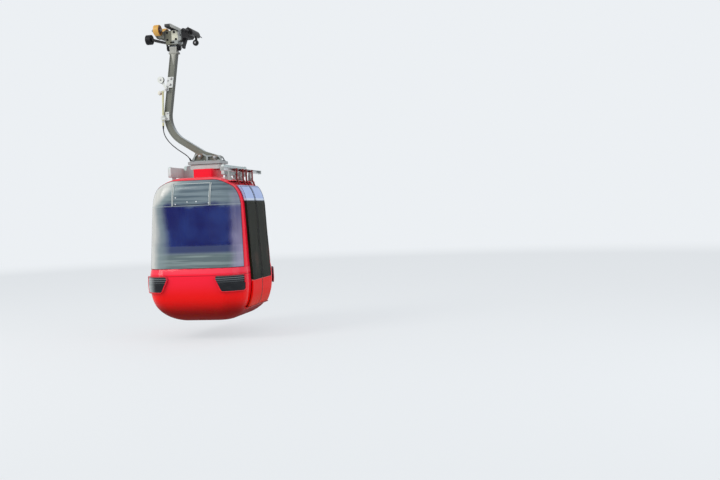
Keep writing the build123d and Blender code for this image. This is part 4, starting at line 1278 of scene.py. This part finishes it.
# Friction bar across the top of the grip: a black plastic wear strip on four screws, driven by tyres
# in the stations, with a pale strip worn along its inner side.
def friction_plastic():
    paint = Paint("friction bar")
    up = paint.facing("Z").step(0.5, 1)
    rub = paint.noise(6, 5, (8, 1, 1))
    pale_side = paint.x.step(-0.2225, -0.2205)
    worn = paint.mix(paint.noise(30, 4), (0.34, 0.34, 0.31), (0.5, 0.5, 0.46))
    greyed = (up * 0.3 + rub.step(0.5, 0.8) * 0.3).clamp()
    black = paint.mix(greyed, (0.01, 0.01, 0.011), (0.06, 0.058, 0.055))
    return paint.done(paint.mix(pale_side, black, worn), rub * 0.3 + 0.35,
                      (paint.noise(180, 3), 0.2, 0.0006))


finish(friction_plastic(), "friction_plate")
scatter("friction_screws", screw, [((-0.262, y, 0.123), (0, 0, 1), 0.018)
                                   for y in (-0.2, -0.065, 0.065, 0.2)], "grip", *pins)


# Studio: a pale floor under the hanging cabin, a white sky and two soft lamps. The floor fades into
# the sky far away, and keeps the cabin's shadow near by.
floor_z = -4.3
horizon = (0.84, 0.87, 0.9)
floor = add(bpy.ops.mesh.primitive_plane_add, size=400, location=(0, 0, floor_z))
floor.name = "studio_floor"
ground = Paint("studio floor", specular=0.1)
ground.feed(Base_Color=ground.mix(ground.noise(0.4), (0.78, 0.79, 0.8), (0.8, 0.81, 0.81)), Roughness=0.9)
glow = ground.node("ShaderNodeEmission", {}, {"Color": horizon, "Strength": 1})
far = ground.distance((0, 0, 0), (1, 1, 0)).step(4, 26)
blend = ground.node("ShaderNodeMixShader", {}, {
    0: far.maths("MAXIMUM", ground.seen() * 0.7), 1: Wire(ground, ground.shader.outputs[0]), 2: glow})
ground.put(ground.tree.nodes["Material Output"].inputs["Surface"], blend)
floor.data.materials.append(ground.material)

world = bpy.data.worlds.new("studio")
scene.world = world
world.use_nodes = True
sky = Nodes(world.node_tree)
light = sky.node("ShaderNodeBackground", {}, {"Color": (0.9, 0.95, 1), "Strength": 0.66})
backdrop = sky.node("ShaderNodeBackground", {}, {"Color": horizon, "Strength": 1})
sky.put(sky.tree.nodes["World Output"].inputs["Surface"],
        sky.node("ShaderNodeMixShader", {}, {0: sky.seen(), 1: light, 2: backdrop}))


def lamp(name, place, target, size, power, color):
    source = bpy.data.lights.new(name, "AREA")
    source.size = size
    source.energy = power
    source.color = color
    lamp_object = bpy.data.objects.new(name, source)
    scene.collection.objects.link(lamp_object)
    lamp_object.location = place
    lamp_object.rotation_mode = "QUATERNION"
    lamp_object.rotation_quaternion = (Vector(target) - Vector(place)).to_track_quat("-Z", "Y")


lamp("key", (-7, -7, 4.5), (0, 0, -2.6), 5, 690, (1, 0.97, 0.92))
lamp("fill", (9, -4, 1), (0, 0, -2.6), 6, 210, (0.92, 0.96, 1))

# Camera of the photograph, found by fitting the cabin's edges.
image_width = 720
focal_pixels = 860.6
camera_yaw = math.radians(11.544)
camera_pitch = math.radians(-2.037)
camera_roll = math.radians(2.336)
camera_data = bpy.data.cameras.new("camera")
camera_data.sensor_width = 36
camera_data.lens = focal_pixels / image_width * camera_data.sensor_width
camera_data.clip_end = 1000
camera = bpy.data.objects.new("camera", camera_data)
scene.collection.objects.link(camera)
camera.location = (4.712, -11.683, -2.594)
forward = Vector((-math.sin(camera_yaw) * math.cos(camera_pitch),
                  math.cos(camera_yaw) * math.cos(camera_pitch), math.sin(camera_pitch)))
camera.rotation_mode = "QUATERNION"
camera.rotation_quaternion = (forward.to_track_quat("-Z", "Y")
                              @ Quaternion((0, 0, 1), -camera_roll))
scene.camera = camera
scene.view_settings.view_transform = "Standard"
